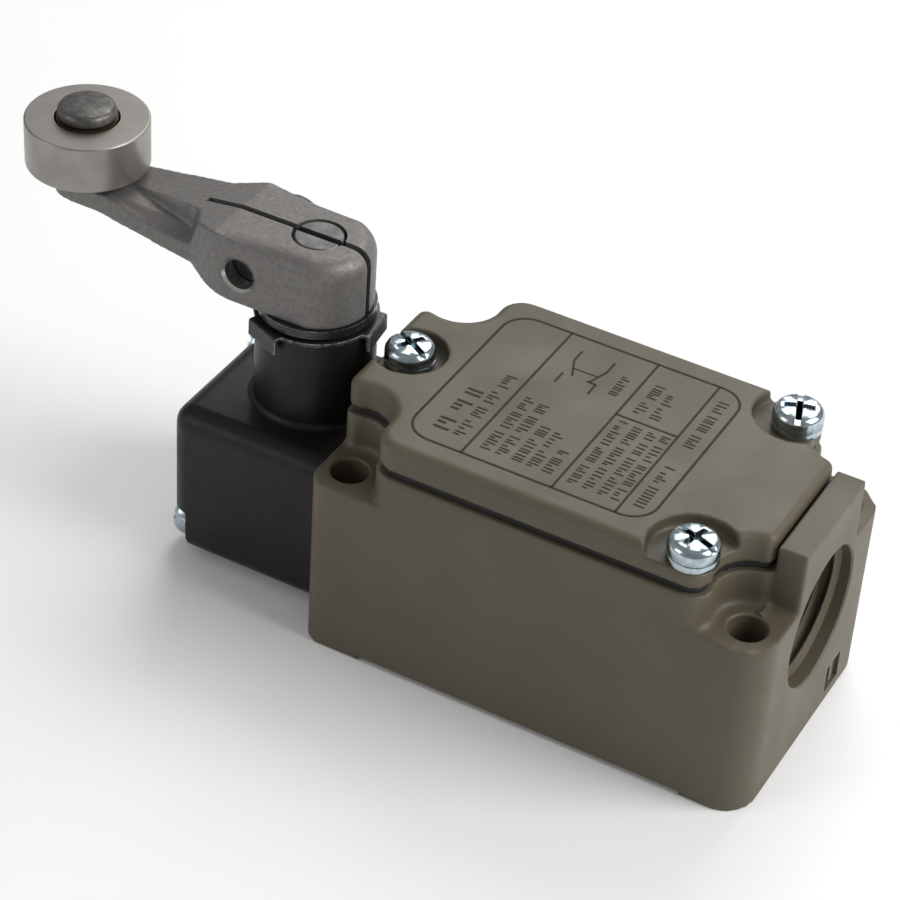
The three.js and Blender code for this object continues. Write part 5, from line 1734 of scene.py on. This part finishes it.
@dataclass
class RollerLever:
    """The lever with its clamp bolt, shaft, collar and roller."""

    shaft_x: float = -44.1
    reach: float = 37.5
    bottom: float = 41.8
    top: float = 52.0
    hub_radius: float = 7.9
    hub_half: float = 7.5
    hub_length: float = 12.5
    neck: float = 17.0
    root_half: float = 5.4
    tip_half: float = 4.8
    tip_bottom: float = 46.2
    root_bottom: float = 43.8
    tip_top: float = 49.2
    overrun: float = 1.0
    hub_end: float = 9.0
    bend_round: float = 2.6
    rim_round: float = 2.4
    voxel: float = 0.2
    kept_faces: float = 0.5
    top_fold: float = 0.3
    tip_fold: Point = (5.6, 4.6)
    pocket_near: Point = (-33.0, -16.8)
    pocket_far: Point = (-29.5, -18.2)
    pocket_y: tuple[float, float, float] = (-7.0, -2.9, -0.6)
    pocket_sink: Point = (3.6, 1.3)
    pocket_lean: Point = (2.6, 1.6)
    slit: Point = (1.05, 17.8)
    bolt: Point = (-8.1, 46.5)
    bolt_radius: float = 2.2
    bolt_span: Point = (-4.9, 5.2)
    bolt_bore: float = 2.5
    bolt_head: tuple[float, float, float] = (4.1, 4.2, 8.8)
    bolt_seat: float = 4.4
    socket: Point = (2.0, 6.8)
    bolt_round: float = 0.25
    bore_rim_radii: tuple[float, float, float] = (2.62, 2.28, 2.56)
    bore_rim_depths: tuple[float, float, float] = (0.12, 0.3, 2.6)
    shaft_radius: float = 3.5
    shaft_gap: float = 0.3
    shaft_foot: float = 4.5
    shaft_pilot: Point = (2.6, 6.8)
    shaft_chamfers: Point = (0.3, 0.25)
    shaft_slot: Point = (0.52, 1.2)
    collar_radius: float = 8.3
    collar_bottom: float = 40.3
    collar_bore: float = 3.8
    collar_round: float = 0.3
    roller_radius: float = 8.75
    roller_bore: float = 4.6
    roller_round: float = 0.28
    roller_span: Point = (50.5, 57.5)
    pin_bore: float = 2.7
    pin_foot: float = 44.9

    def at(self, x: float, y: float = 0.0) -> Point:
        """A point measured from the shaft."""
        return self.shaft_x + x, y

    def arm(self) -> bpy.types.Object:
        """The cast lever.

        Returns:
            The lever.
        """
        lean = math.degrees(math.asin(self.hub_half / self.hub_radius))
        plan = [
            Arc(self.at(0), self.hub_radius, -lean, lean, 24),
            Line(self.at(-self.hub_length, self.hub_half)),
            Line(self.at(-self.neck, self.root_half)),
            Arc(self.at(-self.reach), self.tip_half, 90, 180, 10),
            Arc(self.at(-self.reach), self.tip_half, 180, 270, 10),
            Line(self.at(-self.neck, -self.root_half)),
            Line(self.at(-self.hub_length, -self.hub_half)),
        ]
        start = plan[0].point(-lean)
        low, high, end = self.bottom - self.overrun, self.top + self.overrun, self.hub_end
        lever = prism("lever", Plane.PLAN, start, plan, low, high)
        side = prism("profile", Plane.SIDE, self.at(end, self.bottom), self.profile(), -end, end)
        combine(lever, Join.KEEP, side)
        flatten(lever)
        bevel_edges(lever, self.on_bend, self.bend_round, segments=5)
        bevel_edges(lever, self.on_hub_rim, self.rim_round, segments=6)
        combine(lever, Join.CUT, self.pocket())
        cast(lever, self.voxel, passes=14)
        thin_out(lever, self.kept_faces)
        return shade(self.bores(lever), angle=50)

    def profile(self) -> list[Stroke]:
        """The lever from the side.

        Returns:
            The strokes.
        """
        tip = -self.reach - self.tip_half - self.overrun
        top_fold, low_fold = (fold - self.reach for fold in self.tip_fold)
        points = [
            (self.hub_end, self.top), (self.top_fold - self.hub_length, self.top), (top_fold, self.tip_top),
            (tip, self.tip_top), (tip, self.tip_bottom), (low_fold, self.tip_bottom),
            (-self.neck, self.root_bottom), (-self.hub_length, self.bottom),
        ]
        return [Line(self.at(x, z)) for x, z in points]

    def on_bend(self, a: Vector, b: Vector) -> bool:
        """Whether an edge is one of the upright bends beside the hub."""
        x = self.shaft_x - self.hub_length
        return (a.xy - b.xy).length < 0.1 and abs(a.x - x) < 0.5 and abs(a.z - b.z) > 1

    def on_hub_rim(self, a: Vector, b: Vector) -> bool:
        """Whether an edge runs round the top of the hub.

        Args:
            a: the edge's first end.
            b: the edge's second end.

        Returns:
            True if it does.
        """
        high = min(a.z, b.z) > self.top - 2 * NEAR
        fold = self.shaft_x - self.hub_length + 0.8
        return high and not (a.x < fold and b.x < fold and abs(a.y - b.y) > 3)

    def pocket(self) -> bpy.types.Object:
        """The wedge-shaped hollow beside the arm, open to the near side, with a twisted floor.

        Returns:
            The cutting solid.
        """
        floor = self.tip_top + 0.1
        open_side, root_y, tip_y = self.pocket_y
        near_tip, near_root = (self.at(x, open_side) for x in self.pocket_near)
        far_tip, far_root = self.at(self.pocket_far[0], tip_y), self.at(self.pocket_far[1], root_y)
        plan = [Line(near_root), Line(far_root), Line(far_tip)]
        tool = prism("pocket", Plane.PLAN, near_tip, plan, floor, self.top + 2 * self.overrun)

        def near(spot: Point, low: bool) -> Callable[[Vector], bool]:
            """A test for the lower or the upper vertex of an upright edge.

            Args:
                spot: the edge's place in plan.
                low: whether the lower vertex is meant.

            Returns:
                The test.
            """
            return lambda v: (v.xy - Vector(spot)).length < 0.1 and (v.z < floor + 0.1) == low

        for corner, sink in zip((near_root, far_root), self.pocket_sink):
            slide(tool, near(corner, True), (0.0, 0.0, -sink))
        for corner, lean in zip((near_root, far_root), self.pocket_lean):
            slide(tool, near(corner, False), (lean, 0.0, 0.0))
        return tool

    def bores(self, lever: bpy.types.Object) -> bpy.types.Object:
        """Cuts the slit and the machined holes.

        Args:
            lever: the lever.

        Returns:
            The lever.
        """
        width, length = self.slit
        low, high, end = self.bottom - self.overrun, self.top + self.overrun, self.hub_end
        bolt = (self.shaft_x + self.bolt[0], self.bolt[1])
        cuts = [
            block("slit", (self.shaft_x - length, -width / 2, low), (self.shaft_x + end, width / 2, high)),
            rod("shaft", "Z", self.at(0), self.shaft_radius + self.shaft_gap, low, high, 72),
            rod("bolt", "Y", bolt, self.bolt_bore, -end, end, 56),
            rod("head", "Y", bolt, self.bolt_seat, self.bolt_head[1], end, 56),
            rod("pin", "Z", self.at(-self.reach), self.pin_bore, low, high),
        ]
        return combine(lever, Join.CUT, *cuts)

    def bore_rim(self) -> bpy.types.Object:
        """The bright machined mouth of the clamp bore on its open side.

        Returns:
            The rim.
        """
        outer, bore, back = self.bore_rim_radii
        lip, bevel, depth = self.bore_rim_depths
        profile = [
            Line((outer, -lip)), Line((outer, lip)), Line((bore, -bevel)), Line((bore, -depth)),
            Line((back, -depth)),
        ]
        rim = turned("clamp_bore_rim", profile, (back, -lip), 56)
        turn = Matrix.Rotation(math.pi / 2, 4, "X")
        turn.translation = Vector((self.shaft_x + self.bolt[0], -self.hub_half, self.bolt[1])) * MM
        rim.data.transform(turn)
        return shade(rim)

    def clamp_bolt(self) -> bpy.types.Object:
        """The bolt across the hub with a hexagon socket in its head.

        Returns:
            The bolt.
        """
        place = (self.shaft_x + self.bolt[0], self.bolt[1])
        head, across, deep = self.bolt_head, *self.socket
        bolt = rod("clamp_bolt_look", "Y", place, self.bolt_radius, *self.bolt_span)
        combine(bolt, Join.ADD, rod("head", "Y", place, *head, 64))
        combine(bolt, Join.CUT, rod("socket", "Y", place, across, deep, head[2] + self.overrun, 6))
        soften(bolt, self.bolt_round)
        return shade(bolt)

    def shaft(self) -> bpy.types.Object:
        """The rotary shaft with its slotted end.

        Returns:
            The shaft.
        """
        r, top, foot = self.shaft_radius, self.top - 0.1, self.shaft_foot
        pilot, shoulder = self.shaft_pilot
        low_edge, top_edge = self.shaft_chamfers
        profile = [
            Line((pilot - low_edge, foot)), Line((pilot, foot + low_edge)), Line((pilot, shoulder)),
            Line((r, shoulder)), Line((r, top - top_edge)), Line((r - top_edge, top)), Line((0.0, top)),
        ]
        shaft = turned("rotary_shaft_look", profile, (0.0, foot), 72)
        half, deep = self.shaft_slot
        slot = block("slot", (-self.hub_end, -half, top - deep), (self.hub_end, half, top + 1))
        combine(shaft, Join.CUT, slot)
        flatten(shaft, angle=0.2)
        soften(shaft, 0.06, segments=2)
        shaft.data.transform(Matrix.Translation((self.shaft_x * MM, 0, 0)))
        return shade(shaft)

    def collar(self) -> bpy.types.Object:
        """The smooth collar between the plate and the hub.

        Returns:
            The collar.
        """
        z0, z1 = self.collar_bottom, self.bottom
        r, bore, e = self.collar_radius, self.collar_bore, self.collar_round
        profile = [
            Line((r - e, z0)), Arc((r - e, z0 + e), e, 270, 360, 3), Line((r, z1)), Line((bore, z1)),
            Line((bore, z0)),
        ]
        ring = turned("shaft_collar_look", profile, (bore, z0), 96)
        ring.data.transform(Matrix.Translation((self.shaft_x * MM, 0, 0)))
        return shade(ring)

    def roller(self) -> bpy.types.Object:
        """The steel roller with its small edge rounds.

        Returns:
            The roller.
        """
        z0, z1 = self.roller_span
        r, bore, e = self.roller_radius, self.roller_bore, self.roller_round
        profile = [
            Line((r - e, z0)), Arc((r - e, z0 + e), e, 270, 360, 4), Arc((r - e, z1 - e), e, 0, 90, 4),
            Line((bore, z1)), Line((bore, z0)),
        ]
        ring = turned("roller_look", profile, (bore, z0), 128)
        ring.data.transform(Matrix.Translation(((self.shaft_x - self.reach) * MM, 0, 0)))
        return shade(ring)

    def pin(self) -> bpy.types.Object:
        """The riveted pin with its hammered head.

        Returns:
            The pin.
        """
        head, foot = self.roller_span[1] + 0.3, self.pin_foot
        profile = [
            Line((2.6, foot)), Arc((2.6, foot + 0.8), 0.8, 270, 360, 4), Line((3.4, foot + 1.0)),
            Line((2.4, foot + 1.0)), Line((2.4, head)), Line((3.8, head)),
            Arc((3.75, head + 0.4), 0.4, 270, 360, 3), Line((4.15, head + 0.75)),
            Arc((3.15, head + 0.75), 1.0, 0, 78, 7),
            Line((2.2, head + 1.82)), Line((1.1, head + 1.88)), Line((0.0, head + 1.9)),
        ]
        pin = turned("roller_pin_look", profile, (0.0, foot), 72)
        pin.data.transform(Matrix.Translation(((self.shaft_x - self.reach) * MM, 0, 0)))
        return shade(pin, angle=50)

    def build(self) -> None:
        """Makes and mounts everything that turns with the lever."""
        mount(self.arm(), RAW_CAST, "lever", "lever_arm")
        mount(self.bore_rim(), CUT_METAL, "lever")
        mount(self.clamp_bolt(), DARK_STEEL, "lever", "clamp_bolt")
        mount(self.shaft(), SHAFT_STEEL, "lever", "rotary_shaft")
        mount(self.collar(), COLLAR_STEEL_IN_SHADE, "lever", "shaft_collar")
        mount(self.pin(), RIVET_STEEL, "lever", "roller_pin")
        mount(self.roller(), ROLLER_STEEL, "roller", "roller")


# ---------------------------------------------------------------- studio


@dataclass
class Lamp:
    """A soft square light that looks at the object."""

    name: str
    place: Spot
    size: float
    power: float
    colour: Colour = (1.0, 1.0, 1.0)

    def build(self, target: Vector) -> None:
        """Hangs the light. The place and size are in metres.

        Args:
            target: what the light looks at.
        """
        bpy.ops.object.select_all(action="DESELECT")
        bpy.ops.object.light_add(type="AREA", location=self.place)
        lamp = bpy.context.object
        lamp.name = self.name
        lamp.data.shape = "SQUARE"
        lamp.data.size = self.size
        lamp.data.energy = self.power
        lamp.data.color = self.colour
        lamp.rotation_euler = (target - lamp.location).to_track_quat("-Z", "Y").to_euler()


@dataclass
class Studio:
    """The floor, the lights and the camera. Places are in metres and angles in degrees."""

    floor_size: float = 4.0
    sky: float = 0.36
    lens: float = 120.11
    camera: Spot = (0.124105, -0.290728, 0.277885)
    azimuth: float = 26.51
    elevation: float = 37.52
    roll: float = 4.14
    shift: Point = (-0.0111, -0.0206)
    sensor: float = 36.0
    nearest: float = 0.01
    aim: Spot = (-0.01, 0.0, 0.025)
    lamps: tuple[Lamp, ...] = (
        Lamp("key", (0.62, 0.12, 0.5), 0.5, 5.6),
        Lamp("back", (-0.15, 0.7, 0.7), 0.6, 4.2),
        Lamp("front", (-0.55, -0.6, 0.35), 0.4, 1.2),
    )

    def build(self) -> None:
        """Sets the scene up round the object."""
        bpy.ops.object.select_all(action="DESELECT")
        bpy.ops.mesh.primitive_plane_add(size=self.floor_size)
        floor = bpy.context.object
        floor.name = "floor"
        FLOOR.dress(floor)
        for lamp in self.lamps:
            lamp.build(Vector(self.aim))
        world = bpy.data.worlds.new("studio")
        world.use_nodes = True
        sky = world.node_tree.nodes["Background"]
        sky.inputs["Color"].default_value = (1.0, 1.0, 1.0, 1.0)
        sky.inputs["Strength"].default_value = self.sky
        bpy.context.scene.world = world
        bpy.context.scene.view_settings.view_transform = "Standard"
        self.look()

    def look(self) -> None:
        """Hangs the camera."""
        a, e, r = (math.radians(v) for v in (self.azimuth, self.elevation, self.roll))
        back = Vector((math.sin(a) * math.cos(e), -math.cos(a) * math.cos(e), math.sin(e)))
        right = Vector((math.cos(a), math.sin(a), 0.0))
        up = back.cross(right)
        across = right * math.cos(r) + up * math.sin(r)
        along = up * math.cos(r) - right * math.sin(r)
        turn = Matrix((across, along, back)).transposed().to_4x4()
        bpy.ops.object.camera_add()
        camera = bpy.context.object
        camera.matrix_world = Matrix.Translation(self.camera) @ turn
        camera.data.lens = self.lens
        camera.data.sensor_width = self.sensor
        camera.data.shift_x, camera.data.shift_y = self.shift
        camera.data.clip_start = self.nearest
        bpy.context.scene.camera = camera


def dress_frame(record: dict) -> None:
    """Gives every CAD node that still shows the finish of its slot.

    Args:
        record: the part's record.
    """
    slots = {part["node"]: part["material_slot"] for part in record["subparts"]}
    for name, obj in frame["nodes"].items():
        if not obj.hide_render:
            FINISH_OF_SLOT[slots[name]].dress(obj)


def main() -> None:
    """Builds the pieces in order, then the studio round them."""
    logging.basicConfig(level=logging.INFO, format="%(name)s %(message)s")
    for part in (Housing(), Fasteners(), OperatingHead(), RollerLever()):
        part.build()
    dress_frame(frame["record"])
    Studio().build()


if __name__ == "__main__":
    main()
